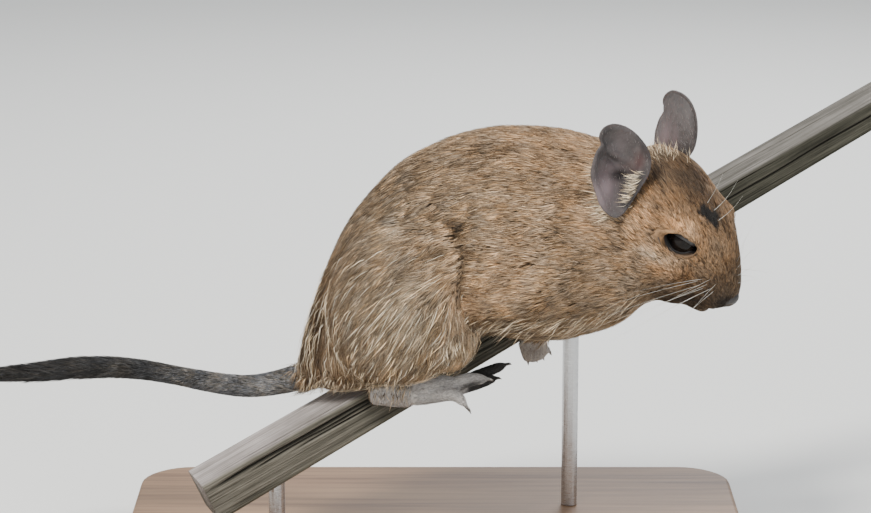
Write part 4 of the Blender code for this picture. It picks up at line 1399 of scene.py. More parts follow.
def makeLathMaterial():
    material, tree, shader = newMaterial("weatheredWoodWithShade")
    place = addNode(tree, "Attribute", attribute_name="lathPlace").outputs["Vector"]
    shadedFaces, cracks, run = splitVector(tree, "lathShadeAndRun")
    fine = stretchedNoise(tree, place, (34.0, 1900.0, 1900.0), Detail=4.0, Roughness=0.6)
    broad = stretchedNoise(tree, place, (16.0, 420.0, 420.0), Detail=3.0, Roughness=0.6)
    cloud = stretchedNoise(tree, place, (60.0, 90.0, 90.0), Detail=3.0, Roughness=0.6)
    total = weighNodes(tree, fine, 0.55, broad, 0.45)
    streak = rampNode(tree, total, ((0.38, (0, 0, 0)), (0.60, (1, 1, 1))))
    # painted shade: the lit copy of the wood for the top, a shaded copy for the sides and underside
    top = mixColours(tree, streak, (0.165, 0.150, 0.135), (0.400, 0.365, 0.345))
    front = mixColours(tree, streak, (0.026, 0.025, 0.017), (0.120, 0.112, 0.084))
    wood = mixColours(tree, shadedFaces, top, front)
    shade = rampNode(tree, cloud, ((0.30, (0.62, 0.62, 0.60)), (0.70, (1.0, 1.0, 1.0))))
    wood = mixColours(tree, 1.0, wood, shade, "MULTIPLY")
    # darker towards the front end of the lath
    alongTone = rampNode(tree, run, (
        (0.05, (1.45, 1.42, 1.44)), (0.40, (1.1, 1.1, 1.1)), (0.70, (0.62, 0.63, 0.60)),
    ))
    wood = mixColours(tree, 1.0, wood, alongTone, "MULTIPLY")
    # painted shade inside the cracks
    cracked = mixColours(tree, cracks, wood, (0.018, 0.016, 0.012))
    tree.links.new(cracked, shader.inputs["Base Color"])
    addBump(tree, shader, streak, 0.8, 0.0004)
    shader.inputs["Roughness"].default_value = 0.9
    shader.inputs["Specular IOR Level"].default_value = 0.15
    return material


lathCracks = (
    # place round the lath, begin and reach along it as shares; width and depth in millimetres
    (0.957, 0.00, 0.62, 0.45, 1.3), (0.935, 0.05, 0.34, 0.32, 1.0), (0.915, 0.10, 0.55, 0.28, 0.8),
    (0.880, 0.25, 0.40, 0.24, 0.6), (0.985, 0.30, 0.50, 0.24, 0.5), (0.925, 0.60, 0.40, 0.28, 0.7),
    (0.050, 0.00, 0.50, 0.20, 0.4), (0.120, 0.20, 0.60, 0.16, 0.35), (0.200, 0.40, 0.50, 0.16, 0.3),
)

lathLook = {
    "width": 17.0, "thickness": 13.4, "taper": 5.2, "corner": 1.3,
    "pitch": 24.75, "turn": 20.0, "point": (-20.0, 0.0, 60.0), "back": 61.0, "front": 205.0,
    "alongSteps": 170, "roundSteps": 230, "inset": 0.12,
    "cracks": 7, "seed": 4,
}


def lathAxes():
    pitch, turn = math.radians(lathLook["pitch"]), math.radians(lathLook["turn"])
    along = np.array((math.cos(pitch) * math.cos(turn), math.cos(pitch) * math.sin(turn), math.sin(pitch)))
    across = np.array((-math.sin(turn), math.cos(turn), 0.0))
    return along, across, np.cross(along, across)


def makeLath():
    deselectAll()
    look = lathLook
    bpy.ops.mesh.primitive_grid_add(
        x_subdivisions=look["alongSteps"], y_subdivisions=look["roundSteps"], size=1)
    lath = bpy.context.view_layer.objects.active
    lath.name = "lath"
    flat = pointsOf(lath)
    share = flat[:, 0] + 0.5
    turnShare = flat[:, 1] + 0.5
    length = look["back"] + look["front"] - 2 * look["inset"]
    place = -look["back"] + look["inset"] + length * share
    half = look["width"] / 2 - look["inset"]
    thick = look["thickness"] - look["taper"] * share - 2 * look["inset"]
    # walk round the section: top, far side, underside, near side
    edges = np.column_stack([2 * half * np.ones_like(thick), thick, 2 * half * np.ones_like(thick), thick])
    walked = turnShare * edges.sum(1)
    across, over = np.zeros(len(flat)), np.zeros(len(flat))
    faceWeight = np.zeros((len(flat), 4))
    start = np.zeros(len(flat))
    for side in range(4):
        inside = (walked >= start - 1e-9) & (walked <= start + edges[:, side] + 1e-6)
        t = np.clip((walked - start) / edges[:, side], 0, 1)
        if side == 0:
            x, y = -half + 2 * half * t, np.zeros_like(t)
        elif side == 1:
            x, y = half * np.ones_like(t), -thick * t
        elif side == 2:
            x, y = half - 2 * half * t, -thick
        else:
            x, y = -half * np.ones_like(t), -thick * (1 - t)
        across[inside], over[inside] = x[inside], y[inside]
        faceWeight[inside, side] = 1
        start = start + edges[:, side]
    # worn corners: pull points towards a rounded box
    corner = look["corner"]
    cx = np.clip(across, -half + corner, half - corner)
    cy = np.clip(over, -thick + corner, -corner)
    off = np.column_stack([across - cx, over - cy])
    size = np.linalg.norm(off, axis=1)
    scale = np.where(size > corner, corner / np.maximum(size, 1e-9), 1.0)
    across, over = cx + off[:, 0] * scale, cy + off[:, 1] * scale

    # long cracks pressed in along the surface's normal, with painted shade inside them
    draw = np.random.default_rng(look["seed"])
    seam = walked / edges.sum(1)
    dent = np.full(len(flat), 0.06)
    dark = np.zeros(len(flat))
    lines = list(lathCracks)
    for _ in range(look["cracks"]):
        lines.append((draw.uniform(0.30, 0.76), draw.uniform(-0.1, 0.7), draw.uniform(0.2, 0.7), 0.35, 0.7))
    for centre, begin, reach, width, carve in lines:
        wander = centre + 0.004 * np.sin(share * 17 + centre * 40) + 0.002 * np.sin(share * 53 + centre * 90)
        away = np.abs((seam - wander + 0.5) % 1 - 0.5) * edges.sum(1)
        ending = softStep(begin + reach - 0.08, begin + reach, share)
        within = softStep(begin - 0.01, begin + 0.05, share) * (1 - ending)
        dent += np.exp(-(away / width) ** 2) * within * carve
        dark = np.maximum(dark, np.exp(-(away / (width * 0.9)) ** 2) * within)
    deep = 2.2
    sideways = across - np.clip(across, -half + deep, half - deep)
    outward = unit(np.column_stack([sideways, over - np.clip(over, -thick + deep, -deep)]))
    across, over = across - outward[:, 0] * dent, over - outward[:, 1] * dent
    local = np.column_stack([place, across, over])
    setPoints(lath, (np.array(look["point"]) + local @ np.array(lathAxes())) * mm)
    # painted shade: the sides and underside darker than the top
    shadedFaces = softStep(0.25, 0.8, np.abs(outward[:, 0])) * 0.9 + softStep(0.3, 0.9, -outward[:, 1]) * 0.6
    paintPoints(lath, "lathPlace", local * mm, "FLOAT_VECTOR")
    paintedShadeAndRun = np.column_stack([np.clip(shadedFaces, 0, 1), np.clip(dark, 0, 1), share])
    paintPoints(lath, "lathShadeAndRun", paintedShadeAndRun, "FLOAT_VECTOR")
    selectOnly(lath)
    bpy.ops.object.mode_set(mode="EDIT")
    bpy.ops.mesh.select_all(action="SELECT")
    bpy.ops.mesh.remove_doubles(threshold=0.00001)
    bpy.ops.object.mode_set(mode="OBJECT")
    fillEnds(lath)
    fixNormals(lath)
    lath.data.shade_smooth()
    selectOnly(lath)
    bpy.ops.object.shade_smooth_by_angle(angle=math.radians(45))
    print("degu: lath")
    return lath


# Whiskers and claws

whiskerLook = {
    # root, middle and tip as pixels of the picture, and the lift of the tip towards the viewer
    "near": (
        ((708, 284), (668, 300), (596, 332), 9), ((712, 288), (676, 304), (622, 334), 8),
        ((704, 288), (650, 306), (563, 338), 10), ((700, 285), (652, 298), (588, 322), 9),
        ((706, 291), (664, 309), (604, 343), 7), ((714, 291), (690, 309), (655, 340), 7),
        ((698, 281), (655, 290), (604, 305), 12), ((716, 284), (694, 304), (672, 330), 9),
        ((703, 279), (668, 283), (628, 292), 14), ((711, 279), (684, 291), (644, 312), 12),
    ),
    "far": (
        ((736, 270), (746, 258), (757, 244), -4), ((737, 276), (750, 268), (763, 262), -4),
        ((738, 283), (752, 279), (765, 279), -3), ((735, 266), (742, 254), (748, 238), -5),
    ),
    "brow": (
        ((706, 205), (716, 190), (722, 174), 3), ((712, 212), (728, 200), (737, 180), 2),
        ((716, 222), (732, 212), (742, 196), 2),
    ),
    "radius": 0.045,
    "steps": 7,
}


def makeWhiskers(skinTree):
    towards = viewAxes()[2]
    strands = []
    for kind in ("near", "far", "brow"):
        for root, middle, tip, lift in whiskerLook[kind]:
            origin, way = pixelRay(root)
            hit = skinTree.ray_cast(origin, way)[0]
            start = np.array(hit or skinTree.find_nearest(Vector(rayPoint(root, headPoint(6, 0, 0))))[0])
            half = rayPoint(middle, start) + towards * lift * 0.5 * mm
            end = rayPoint(tip, start) + towards * lift * mm
            line, radii = [], []
            for step in range(whiskerLook["steps"]):
                share = step / (whiskerLook["steps"] - 1)
                point = start * (1 - share) ** 2 + 2 * half * share * (1 - share) + end * share ** 2
                line.append(point)
                radii.append(whiskerLook["radius"] * (1 - 0.8 * share) * mm)
            strands.append(taperedTube("whisker", line, radii, 3))
            if kind == "near":
                # the same whisker on the other side of the head
                left = headAxes()[1]
                mirror = [p - 2 * left * np.dot(p - headPoint(0, 0, 0), left) for p in line]
                strands.append(taperedTube("whisker", mirror, radii, 3))
    return joinAll("whiskers", strands)


clawLook = {
    "length": 3.9,
    "radius": 0.62,
    "sunk": 0.7,
    # share along the claw, drop and radius
    "rows": ((0, 0.0, 0.7), (0.2, 0.0, 1.0), (0.5, 0.1, 0.8), (0.8, 0.45, 0.45), (1.0, 0.9, 0.08)),
    "toes": {
        # last two points of each toe
        "right5": ((5.5, -20.5, 61.0), (8.3, -22.0, 58.6)),
        "right4": ((9.0, -18.0, 64.6), (14.3, -17.5, 64.8)),
        "right3": ((12.0, -8.0, 60.6), (17.5, -4.0, 61.0)),
        "right2": ((13.0, -3.0, 61.8), (20.5, 1.5, 63.6)),
        "paw2": ((27.4, 1.0, 67.6), (28.0, 5.0, 64.6)),
        "paw3": ((29.2, 0.6, 66.8), (30.4, 5.0, 64.8)),
        "paw4": ((31.0, 0.8, 67.6), (32.4, 5.4, 65.4)),
        "paw5": ((32.6, 1.6, 69.4), (34.4, 6.0, 67.0)),
    },
    "lathToes": {
        # along, across and over the lath
        "left5": ((44.0, 2.6, 2.6), (49.5, 2.6, 2.2)),
        "left4": ((45.0, 6.4, 2.6), (51.5, 8.0, 1.9)),
        "left3": ((43.0, 9.8, 1.8), (48.0, 11.2, -1.4)),
        "left2": ((38.0, 10.6, 1.0), (41.0, 11.2, -2.2)),
        "leftPaw2": ((75.0, 0.2, 2.4), (79.0, 0.0, 1.9)),
        "leftPaw3": ((76.5, 2.8, 2.4), (80.5, 3.6, 1.9)),
        "leftPaw4": ((76.0, 5.6, 2.4), (79.5, 7.4, 1.7)),
        "leftPaw5": ((73.5, 7.8, 2.2), (76.0, 10.6, 0.4)),
    },
}


def makeClaws():
    claws = []
    ends = [(np.array(a), np.array(b)) for a, b in clawLook["toes"].values()]
    axes = lathAxes()
    for pair in clawLook["lathToes"].values():
        ends.append(tuple(
            np.array(lathLook["point"]) + axes[0] * p[0] + axes[1] * p[1] + axes[2] * p[2] for p in pair))
    for before, end in ends:
        along = unit(end - before)
        line, radii = [], []
        for share, drop, radius in clawLook["rows"]:
            reach = share * clawLook["length"] - clawLook["sunk"]
            line.append((end + along * reach - np.array((0, 0, 1)) * drop) * mm)
            radii.append(clawLook["radius"] * radius * mm)
        claws.append(taperedTube("claw", line, radii, 8))
    item = joinAll("claws", claws)
    item.data.shade_smooth()
    return item


def makeHornMaterial():
    material, tree, shader = newMaterial("clawHorn")
    cloud = objectNoise(tree, 700.0, 2.0)
    tree.links.new(rampNode(tree, cloud, ((0.3, (0.035, 0.031, 0.028)), (0.75, (0.12, 0.10, 0.085)))),
                   shader.inputs["Base Color"])
    shader.inputs["Roughness"].default_value = 0.4
    return material


def makeWhiskerMaterial():
    material, tree, shader = newMaterial("whiskerHair")
    cloud = objectNoise(tree, 200.0, 1.0)
    tree.links.new(rampNode(tree, cloud, ((0.35, (0.52, 0.49, 0.42)), (0.7, (0.78, 0.76, 0.70)))),
                   shader.inputs["Base Color"])
    shader.inputs["Roughness"].default_value = 0.35
    return material


# Ears

earLook = {
    "right": {"base": (53.4, -29.9, 116.6), "tip": (52.4, -27.7, 143.8), "facing": (0.42, -0.87, 0.25)},
    "left": {"base": (73.0, -3.5, 121.5), "tip": (71.3, 3.6, 148.4), "facing": (0.74, 0.64, -0.12)},
    "middle": 0.56,
    "rings": 22,
    "sides": 120,
    "thickness": 0.7,
    "hairs": 900,
}

earLines = {
    # the margin and the deepest point as pixels of the picture, and the cup's depth
    "right": {
        "margin": ((617, 123.8), (608.5, 125.6), (602.6, 131), (600.8, 137.5), (602.6, 142.6), (602.0, 146.0),
                   (598.0, 152), (594.2, 163), (592.2, 175.5), (594.2, 184), (597.5, 195), (601, 205), (607, 213),
                   (615, 218.3), (623, 216), (630, 208), (637, 197), (644, 186), (650, 176), (653, 164), (651.6, 154),
                   (648, 146), (641.5, 137.5), (635, 131.2), (626.5, 126.2)),
        "middle": (623, 171),
        "depth": 4.6,
    },
    "left": {
        "margin": ((675, 90), (669.6, 92.4), (666.0, 97), (665.2, 102), (666.6, 107.6), (665.4, 112.6), (661.5, 119),
                   (658.2, 129), (656.6, 140), (657.5, 149), (663, 158), (674, 163), (686, 161), (694, 153), (698, 143),
                   (699.6, 130), (698.6, 117), (695.3, 106), (690.2, 98), (683.5, 92.6)),
        "middle": (679, 128),
        "depth": 3.6,
    },
}

earMarks = {
    # kind (pink, pale, dark), pixel, half length, half width in millimetres, tilt, strength; then dents. On the right
    # ear the dark spots are painted shade in its pit, its folds and along its rolled edges.
    "right": (
        ("pale", (605, 190), 6.5, 3.6, 70, 0.80), ("pale", (622, 142), 5.0, 2.4, 60, 0.18),
        ("pink", (640, 161), 3.0, 1.8, 75, 0.75), ("pink", (632, 166), 4.0, 2.2, 10, 0.35),
        ("pink", (606, 172), 4.0, 2.5, 60, 0.30), ("dark", (622, 175), 3.6, 1.8, -4, 0.97),
        ("dark", (630, 190), 2.3, 5.5, 0, 0.92), ("dark", (626, 203), 1.8, 1.6, 0, 0.95),
        ("dark", (645, 150), 6.5, 1.0, -62, 0.55), ("dark", (641, 180), 5.0, 1.3, 66, 0.60),
        ("dark", (606, 131), 3.2, 1.4, 50, 0.55), ("dark", (603, 150), 3.0, 1.2, 60, 0.45),
        ("dark", (613, 157), 3.6, 0.7, -35, 0.55), ("dark", (642, 140), 9.0, 1.2, -55, 0.45),
    ),
    "left": (
        ("pale", (663, 138), 5.0, 2.6, 80, 0.75), ("pale", (672, 143), 4.5, 2.0, 85, 0.5),
        ("dark", (694, 125), 9.0, 1.6, -80, 0.45), ("dark", (684, 104), 5.0, 1.4, -50, 0.3),
    ),
}

earDents = (
    # pixel, half length, half width, tilt, rise towards the viewer in millimetres
    ((621, 175), 3.4, 1.5, -4, -1.3), ((614, 153), 4.6, 1.1, -32, 0.75), ((612, 159), 4.4, 1.1, -32, -0.7),
    ((627, 192), 2.0, 4.8, 0, -1.0), ((606, 190), 6.0, 2.6, 72, 0.8), ((637, 160), 4.6, 0.9, 78, 0.7),
)


def earAxes(word):
    look = earLook[word]
    base, tip = np.array(look["base"]), np.array(look["tip"])
    up = unit(tip - base)
    facing = np.array(look["facing"])
    facing = unit(facing - up * facing.dot(up))
    length = np.linalg.norm(tip - base)
    return base + up * length * earLook["middle"], np.cross(up, facing), up, facing


def earFlat(word, pixels):
    # picture pixels as millimetres across and up on the ear's own plane
    centre, across, up, facing = earAxes(word)
    return flatPlaces(pixels, centre * mm, facing, across, up)


def sightFlat(word, points):
    # places on the ear's plane that the camera sees behind or before the points, in millimetres
    centre, across, up, facing = earAxes(word)
    towards = viewAxes()[2]
    away = points - centre
    away = away - np.outer(away @ facing / np.dot(towards, facing), towards)
    return np.column_stack([away @ across, away @ up])


def spotReach(word, flat, pixel, length, width, tilt):
    turn = math.radians(tilt)
    place = earFlat(word, [pixel, (pixel[0] + 3 * math.cos(turn), pixel[1] - 3 * math.sin(turn))])
    longWay = unit(place[1] - place[0])
    shortWay = np.array((-longWay[1], longWay[0]))
    away = flat - place[0]
    return np.exp(-(away @ longWay / length) ** 2 - (away @ shortWay / width) ** 2)


def makeEar(word):
    centre, across, up, facing = earAxes(word)
    lines = earLines[word]
    margin = closedCurve(earFlat(word, lines["margin"]), earLook["sides"])
    middle = earFlat(word, [lines["middle"]])[0]
    flat, depth, share = [], [], []
    for ring in range(1, earLook["rings"] + 1):
        reach = (ring / earLook["rings"]) ** 0.85
        flat.append(middle + (margin - middle) * reach)
        roll = -0.9 * softStep(0.90, 1.0, reach)
        depth.append(np.full(len(margin), -lines["depth"] * (1 - reach ** 2.4) + roll))
        share.append(np.full(len(margin), reach))
    flat, depth, share = np.array(flat), np.array(depth), np.array(share)
    if word == "right":
        for pixel, length, width, tilt, rise in earDents:
            seen = centre + flat[..., :1] * across + flat[..., 1:] * up + depth[..., None] * facing
            spot = spotReach(word, sightFlat(word, seen.reshape(-1, 3)), pixel, length, width, tilt)
            depth = depth + spot.reshape(depth.shape) * rise * softStep(1.0, 0.86, share)
    rings = centre + flat[..., :1] * across + flat[..., 1:] * up + depth[..., None] * facing
    ear = ringMesh("ear_" + word + "_shell", rings * mm)
    fillEnds(ear)
    selectOnly(ear)
    bpy.ops.object.mode_set(mode="EDIT")
    bpy.ops.mesh.select_all(action="DESELECT")
    bpy.ops.object.mode_set(mode="OBJECT")
    # only the innermost ring is closed; the margin's own face goes again
    big = [face for face in ear.data.polygons if len(face.vertices) > 4]
    for face in big:
        if max(face.vertices) >= earLook["sides"] * (earLook["rings"] - 1):
            face.select = True
    bpy.ops.object.mode_set(mode="EDIT")
    bpy.ops.mesh.delete(type="ONLY_FACE")
    bpy.ops.object.mode_set(mode="OBJECT")
    useModifier(ear, "SOLIDIFY", thickness=earLook["thickness"] * mm, offset=0.0)
    fixNormals(ear)
    useModifier(ear, "SUBSURF", levels=1, render_levels=1)
    points, normals = pointsOf(ear), normalsOf(ear)
    flat = sightFlat(word, points / mm)
    inner = softStep(-0.3, 0.2, normals @ facing)
    weights = {kind: np.zeros(len(points)) for kind in ("pink", "pale", "dark")}
    for kind, pixel, length, width, tilt, strength in earMarks[word]:
        amount = strength * spotReach(word, flat, pixel, length, width, tilt)
        if word == "right":
            amount = amount * (inner if kind != "pale" else 0.4 + 0.6 * inner)
        weights[kind] = np.maximum(weights[kind], amount)
    marks = np.column_stack([weights["pink"], weights["pale"], weights["dark"], np.ones(len(points))])
    paintPoints(ear, "marks", marks)
    ear.data.shade_smooth()
    return ear


def makeEarMaterial():
    material, tree, shader = newMaterial("earSkin")
    marks = addNode(tree, "Attribute", attribute_name="marks")
    split = tree.nodes.new("ShaderNodeSeparateColor")
    tree.links.new(marks.outputs["Color"], split.inputs["Color"])
    cloud = objectNoise(tree, 420.0, 5.0, Roughness=0.65)
    base = rampNode(tree, cloud, ((0.3, (0.050, 0.043, 0.041)), (0.7, (0.100, 0.085, 0.082))))
    base = mixColours(tree, split.outputs["Red"], base, (0.085, 0.040, 0.036))
    base = mixColours(tree, split.outputs["Green"], base, (0.225, 0.170, 0.178))
    # the dark marks, on the right ear painted shade in its pit, folds and rolled edges
    base = mixColours(tree, split.outputs["Blue"], base, (0.012, 0.009, 0.009))
    tree.links.new(base, shader.inputs["Base Color"])
    addBump(tree, shader, objectNoise(tree, 2600.0, 2.0), 0.5, 0.00012)
    shader.inputs["Roughness"].default_value = 0.58
    shader.inputs["Specular IOR Level"].default_value = 0.3
    shader.inputs["Subsurface Weight"].default_value = 0.10
    shader.inputs["Subsurface Radius"].default_value = (0.004, 0.0015, 0.001)
    shader.inputs["Subsurface Scale"].default_value = 0.5
    return material


def makeEarHair(word, ear):
    # short pale down over both faces of the ear
    draw = np.random.default_rng(31 if word == "right" else 32)
    unwrap = makeUnwrap(ear, 1500)
    tree = treeOf(ear)
    centre, across, up, facing = earAxes(word)
    points, normals = pointsOf(ear), normalsOf(ear)
    count = earLook["hairs"]
    lean = (points / mm - centre) @ up
    density = np.where(normals @ facing > 0.2, 0.5, 1.0) * (0.4 + softStep(8, -12, lean))
    place, normal, _ = scatter(ear, density, count, draw)
    lie = up[None] + 0.35 * across[None] * draw.normal(size=count)[:, None]
    lie = unit(lie - normal * (lie * normal).sum(1)[:, None])
    size = draw.uniform(1.0, 2.4, count) * mm
    rise = draw.uniform(0.08, 0.25, count) * mm
    root, middle, tip, _ = tuftPath(place, normal, lie, size, rise, tree, np.zeros_like(place))
    width = draw.uniform(0.04, 0.08, count) * mm
    marks = np.tile((0.15, 0, 0, 1.0), (count, 1))
    extra = np.tile((0.8, 0, 0), (count, 1))
    hair = np.column_stack([draw.uniform(0.05, 0.40, count), draw.uniform(0.2, 0.5, count)])
    patch = unwrapAt(unwrap, root)
    return makeTufts("earHair_" + word, root, middle, tip, normal, width, hair, marks, extra, patch)


# Single strands laid as the picture shows them

strandSets = {
    # roots from one pixel to another, way and sideways bend in pixels, spread of the turn in radians,
    # shares of the way, lift and width in millimetres, cream, and the range of light and dark
    "earFringe": {
        "roots": ((644, 172), (633, 203)), "way": (-19, 2), "turn": 0.24, "reach": (0.5, 1.1), "lift": 2.0,
        "count": 90, "width": (0.10, 0.20), "cream": 0.95, "vary": (0.45, 1.0), "bend": -2.0},
    "neckHair": {
        "roots": ((612, 152), (614, 216)), "way": (-30, 4), "turn": 0.22, "reach": (0.5, 1.1), "lift": 1.8,
        "count": 190, "width": (0.14, 0.26), "cream": 0.75, "vary": (0.25, 1.0), "bend": 2.5},
    "crownHair": {
        "roots": ((640, 156), (664, 150)), "way": (-9, -13), "turn": 0.45, "reach": (0.5, 1.2), "lift": 0.6,
        "count": 90, "width": (0.08, 0.16), "cream": 0.70, "vary": (0.3, 0.9), "bend": -1.0},
    "farEarHair": {
        "roots": ((658, 156), (697, 160)), "way": (-4, -15), "turn": 0.40, "reach": (0.5, 1.2), "lift": 0.6,
        "count": 110, "width": (0.09, 0.18), "cream": 0.75, "vary": (0.3, 0.95), "bend": 0.5},
    "throatHair": {
        "roots": ((600, 318), (655, 292)), "way": (-26, 13), "turn": 0.25, "reach": (0.5, 1.2), "lift": 1.8,
        "count": 110, "width": (0.10, 0.20), "cream": 0.70, "vary": (0.3, 1.0), "bend": 2.0},
    "chestHair": {
        "roots": ((484, 328), (598, 318)), "way": (-30, 13), "turn": 0.22, "reach": (0.45, 1.2), "lift": 1.8,
        "count": 210, "width": (0.12, 0.22), "cream": 0.60, "vary": (0.2, 0.95), "bend": 2.0},
    "kneeFringe": {
        "roots": ((446, 346), (474, 334)), "way": (0, 20), "turn": 0.22, "reach": (0.5, 1.05), "lift": 1.6,
        "count": 80, "width": (0.10, 0.16), "cream": 0.75, "vary": (0.4, 1.0), "bend": 2.0},
    "heelHair": {
        "roots": ((376, 380), (404, 384)), "way": (-3, 19), "turn": 0.30, "reach": (0.5, 1.15), "lift": 1.7,
        "count": 170, "width": (0.12, 0.24), "cream": 0.45, "vary": (0.15, 0.9), "bend": 1.0},
    "rumpFringe": {
        "roots": ((306, 380), (368, 386)), "way": (-9, 15), "turn": 0.25, "reach": (0.4, 1.0), "lift": 1.7,
        "count": 150, "width": (0.12, 0.24), "cream": 0.60, "vary": (0.2, 0.9), "bend": 1.5},
}


def rayPoint(pixel, depthPoint):
    # the point on a pixel's line of sight at the same depth as another point
    start, way = pixelRay(pixel)
    start, way, towards = np.array(start), np.array(way), viewAxes()[2]
    reach = np.dot(depthPoint - start, towards) / np.dot(way, towards)
    return start + way * reach


def makeStrands(name, look, trees, unwrap):
    draw = np.random.default_rng(len(name) * 7 + 3)
    roots, middles, tips, normals = [], [], [], []
    towards = viewAxes()[2]
    for _ in range(look["count"]):
        share = draw.random()
        start, end = look["roots"]
        pixel = np.array(start) + (np.array(end) - np.array(start)) * share
        pixel = pixel + draw.normal(size=2) * (1.6 if name == "earFringe" else 4.5)
        origin, way = pixelRay(pixel)
        found = [tree.ray_cast(origin, way) for tree in trees]
        found = [one for one in found if one[0] is not None]
        if not found:
            continue
        hit, normal, _, _ = min(found, key=lambda one: one[3])
        reach = draw.uniform(*look["reach"])
        turn = draw.normal() * look["turn"]
        dx, dy = look["way"]
        turned = (dx * math.cos(turn) - dy * math.sin(turn), dx * math.sin(turn) + dy * math.cos(turn))
        run = np.array(turned) * reach
        side = np.array((-run[1], run[0])) / max(np.linalg.norm(run), 1) * look["bend"] * draw.uniform(0.2, 1)
        hit = np.array(hit)
        lift = towards * look["lift"] * mm
        middles.append(rayPoint(pixel + run * 0.5 + side, hit) + lift)
        tips.append(rayPoint(pixel + run, hit) + lift * draw.uniform(0.6, 1.1))
        roots.append(hit - np.array(normal) * 0.3 * mm)
        normals.append(np.array(normal))
    roots, middles, tips, normals = (np.array(part) for part in (roots, middles, tips, normals))
    count = len(roots)
    width = draw.uniform(*look["width"], count) * mm
    marks = np.tile((look["cream"], 0, 0, 1.0), (count, 1))
    hair = np.column_stack([draw.uniform(*look["vary"], count), draw.uniform(0.3, 0.8, count)])
    patch = unwrapAt(unwrap, roots)
    return makeTufts(name, roots, middles, tips, normals, width, hair, marks, np.zeros((count, 3)), patch)


# Nose pad with its nostrils

noseLook = {
    "middle": (1.9, 0.0, 1.0),
    "size": (2.1, 3.3, 2.6),
}


def makeNose():
    deselectAll()
    bpy.ops.mesh.primitive_uv_sphere_add(segments=48, ring_count=32, radius=1)
    pad = bpy.context.view_layer.objects.active
    pad.name = "nosePad"
    applyPlace(pad)
    flat = pointsOf(pad)
    forward, left, up = headAxes()
    size = noseLook["size"]
    # a comma-shaped pit on each side of the tip and a groove between them
    for side in (-1, 1):
        out = flat[:, 1] * side
        high = flat[:, 2] - 0.12 + 0.35 * (out - 0.5)
        pit = np.exp(-((out - 0.52) / 0.22) ** 2 - (high / 0.24) ** 2) * (flat[:, 0] > 0)
        flat[:, 0] -= pit * 0.42
    groove = np.exp(-(flat[:, 1] / 0.10) ** 2) * (flat[:, 0] > 0) * softStep(0.5, -0.3, flat[:, 2])
    flat[:, 0] -= groove * 0.16
    place = headPoint(*noseLook["middle"])
    spread = forward * flat[:, :1] * size[0] + left * flat[:, 1:2] * size[1] + up * flat[:, 2:] * size[2]
    setPoints(pad, place + spread * mm)
    fixNormals(pad)
    pad.data.shade_smooth()
    return pad


def makeNoseMaterial():
    material, tree, shader = newMaterial("noseSkin")
    grain = objectNoise(tree, 1900.0, 3.0)
    tree.links.new(rampNode(tree, grain, ((0.3, (0.014, 0.012, 0.011)), (0.7, (0.042, 0.035, 0.032)))),
                   shader.inputs["Base Color"])
    addBump(tree, shader, grain, 0.5, 0.00015)
    shader.inputs["Roughness"].default_value = 0.5
    return material


# Long pale guard hairs over the haunch and flank

guardLook = {
    "parts": ("thigh_right", "thigh_left", "torso"),
    "count": 850,
    "length": (11.0, 19.0),
    "width": 0.15,
    "rise": 2.7,
}


def makeGuardHair(skin, names, nearest, skinTree, unwrap):
    draw = np.random.default_rng(77)
    points = pointsOf(skin)
    part = np.isin(nearest, [names.index(name) for name in guardLook["parts"]]).astype(float)
    low = (0.25 + 0.75 * softStep(104, 84, points[:, 2] / mm)) * softStep(112, 100, points[:, 2] / mm)
    density = part * low * softStep(15, 6, points[:, 0] / mm)
    count = guardLook["count"]
    place, normal, vertex = scatter(skin, density, count, draw)
    comb = coatAt(place, [names[nearest[v]] for v in vertex])
    lie = comb[:, :3]
    lie = unit(lie - normal * (lie * normal).sum(1)[:, None])
    turn = draw.normal(size=count) * 0.10
    lie = unit(lie * np.cos(turn)[:, None] + np.cross(normal, lie) * np.sin(turn)[:, None])
    length = draw.uniform(*guardLook["length"], count) * mm
    rise = draw.uniform(0.75, 1.0, count) * guardLook["rise"] * mm
    bend = np.cross(normal, lie) * (draw.normal(size=count) * 0.06 * length)[:, None]
    root, middle, tip = trimmedPath(
        place, normal, lie, length, rise, skinTree, bend, footFace, ((0.36, 0.92), (1.0, 1.0)))
    width = draw.uniform(0.7, 1.2, count) * guardLook["width"] * mm
    marks = np.zeros((count, 4))
    marks[:, 0] = 0.95
    marks[:, 3] = 1
    hair = np.column_stack([draw.uniform(0.55, 1.0, count), draw.random(count)])
    extra, patch = np.zeros((count, 3)), unwrapAt(unwrap, place)
    return makeTufts("guardHair", root, middle, tip, normal, width, hair, marks, extra, patch)


# Putting it together

makeCamera()
makeLights()
makeFloor()

coatGroup = makeCoatGroup()
woodGroup = makeWoodGroup()
coatMaterial = makeCoatMaterial("agoutiCoat", coatGroup)
skinMaterial = makeCoatMaterial("agoutiSkin", coatGroup, onSkin=True)

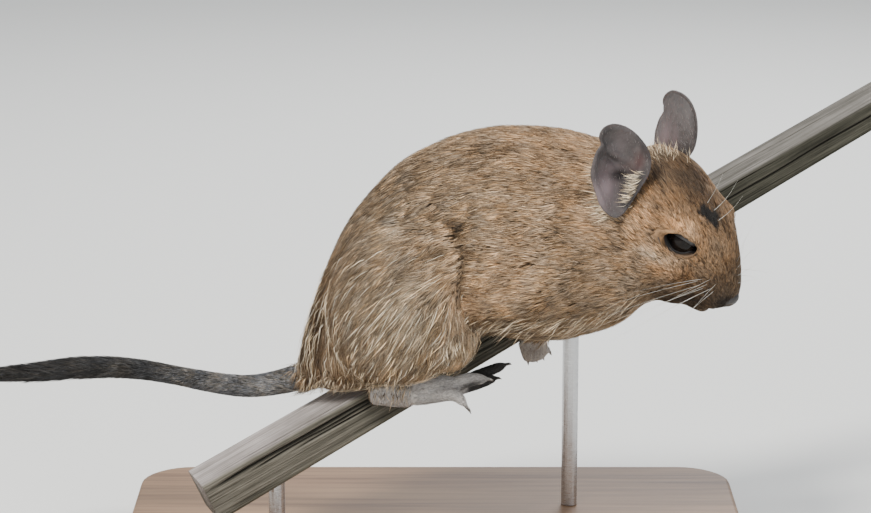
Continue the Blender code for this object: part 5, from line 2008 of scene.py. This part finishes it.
skin, partNames, nearestPart, creaseSet = makeSkin()
skinTree = treeOf(skin)
hits = pixelHits(skinTree)
skinPoints = pointsOf(skin)
skinMarks, skinExtra = markSkin(skinPoints, [partNames[i] for i in nearestPart], hits)
paintPoints(skin, "marks", skinMarks)
paintPoints(skin, "extra", skinExtra, "FLOAT_VECTOR")
unwrap = makeUnwrap(skin, 5000)
print("degu: unwrap")

for ball, node in makeEyes():
    finishPiece(ball, [makeEyeMaterial()], [node])
lidMaterial = makeLidMaterial()
for lid in makeLids(skinTree):
    finishPiece(lid, [lidMaterial])
print("degu: eyes and lids")

earMaterial = makeEarMaterial()
earTrees = []
for word in ("right", "left"):
    ear = makeEar(word)
    earHair = makeEarHair(word, ear)
    earTrees.append(treeOf(ear))
    finishPiece(ear, [earMaterial], ["ear_" + word])
    finishPiece(earHair, [coatMaterial])
print("degu: ears")

footFace = np.isin(nearestPart[trianglesOf(skin)[:, 0]], [partNames.index(name) for name in footLie])
coat = makeCoat(skin, partNames, nearestPart, skinTree, hits, unwrap)
coat.append(makeGuardHair(skin, partNames, nearestPart, skinTree, unwrap))
for piece in coat:
    finishPiece(piece, [coatMaterial])
fleshNodes = [name for name in coatDepth if name != "tail"] + ["tail_base", "tail_middle", "tail_brush"]
finishPiece(skin, [skinMaterial], fleshNodes)
print("degu: coat")

for name, look in strandSets.items():
    strands = makeStrands(name, look, [skinTree] + (earTrees if name == "earFringe" else []), unwrap)
    finishPiece(strands, [coatMaterial])
finishPiece(makeNose(), [makeNoseMaterial()])

whiskers = makeWhiskers(skinTree)
finishPiece(whiskers, [makeWhiskerMaterial()])
claws = makeClaws()
finishPiece(claws, [makeHornMaterial()])
print("degu: whiskers and claws")

lath = makeLath()
finishPiece(lath, [makeLathMaterial()], ["perch_lath"])
baseMaterial = makeBaseMaterial(woodGroup)
steelMaterial = makeSteelMaterial()
frame["nodes"]["stand_base"].data.materials.clear()
frame["nodes"]["stand_base"].data.materials.append(baseMaterial)
for name in ("stand_rod_back", "stand_rod_front"):
    frame["nodes"][name].data.materials.clear()
    frame["nodes"][name].data.materials.append(steelMaterial)
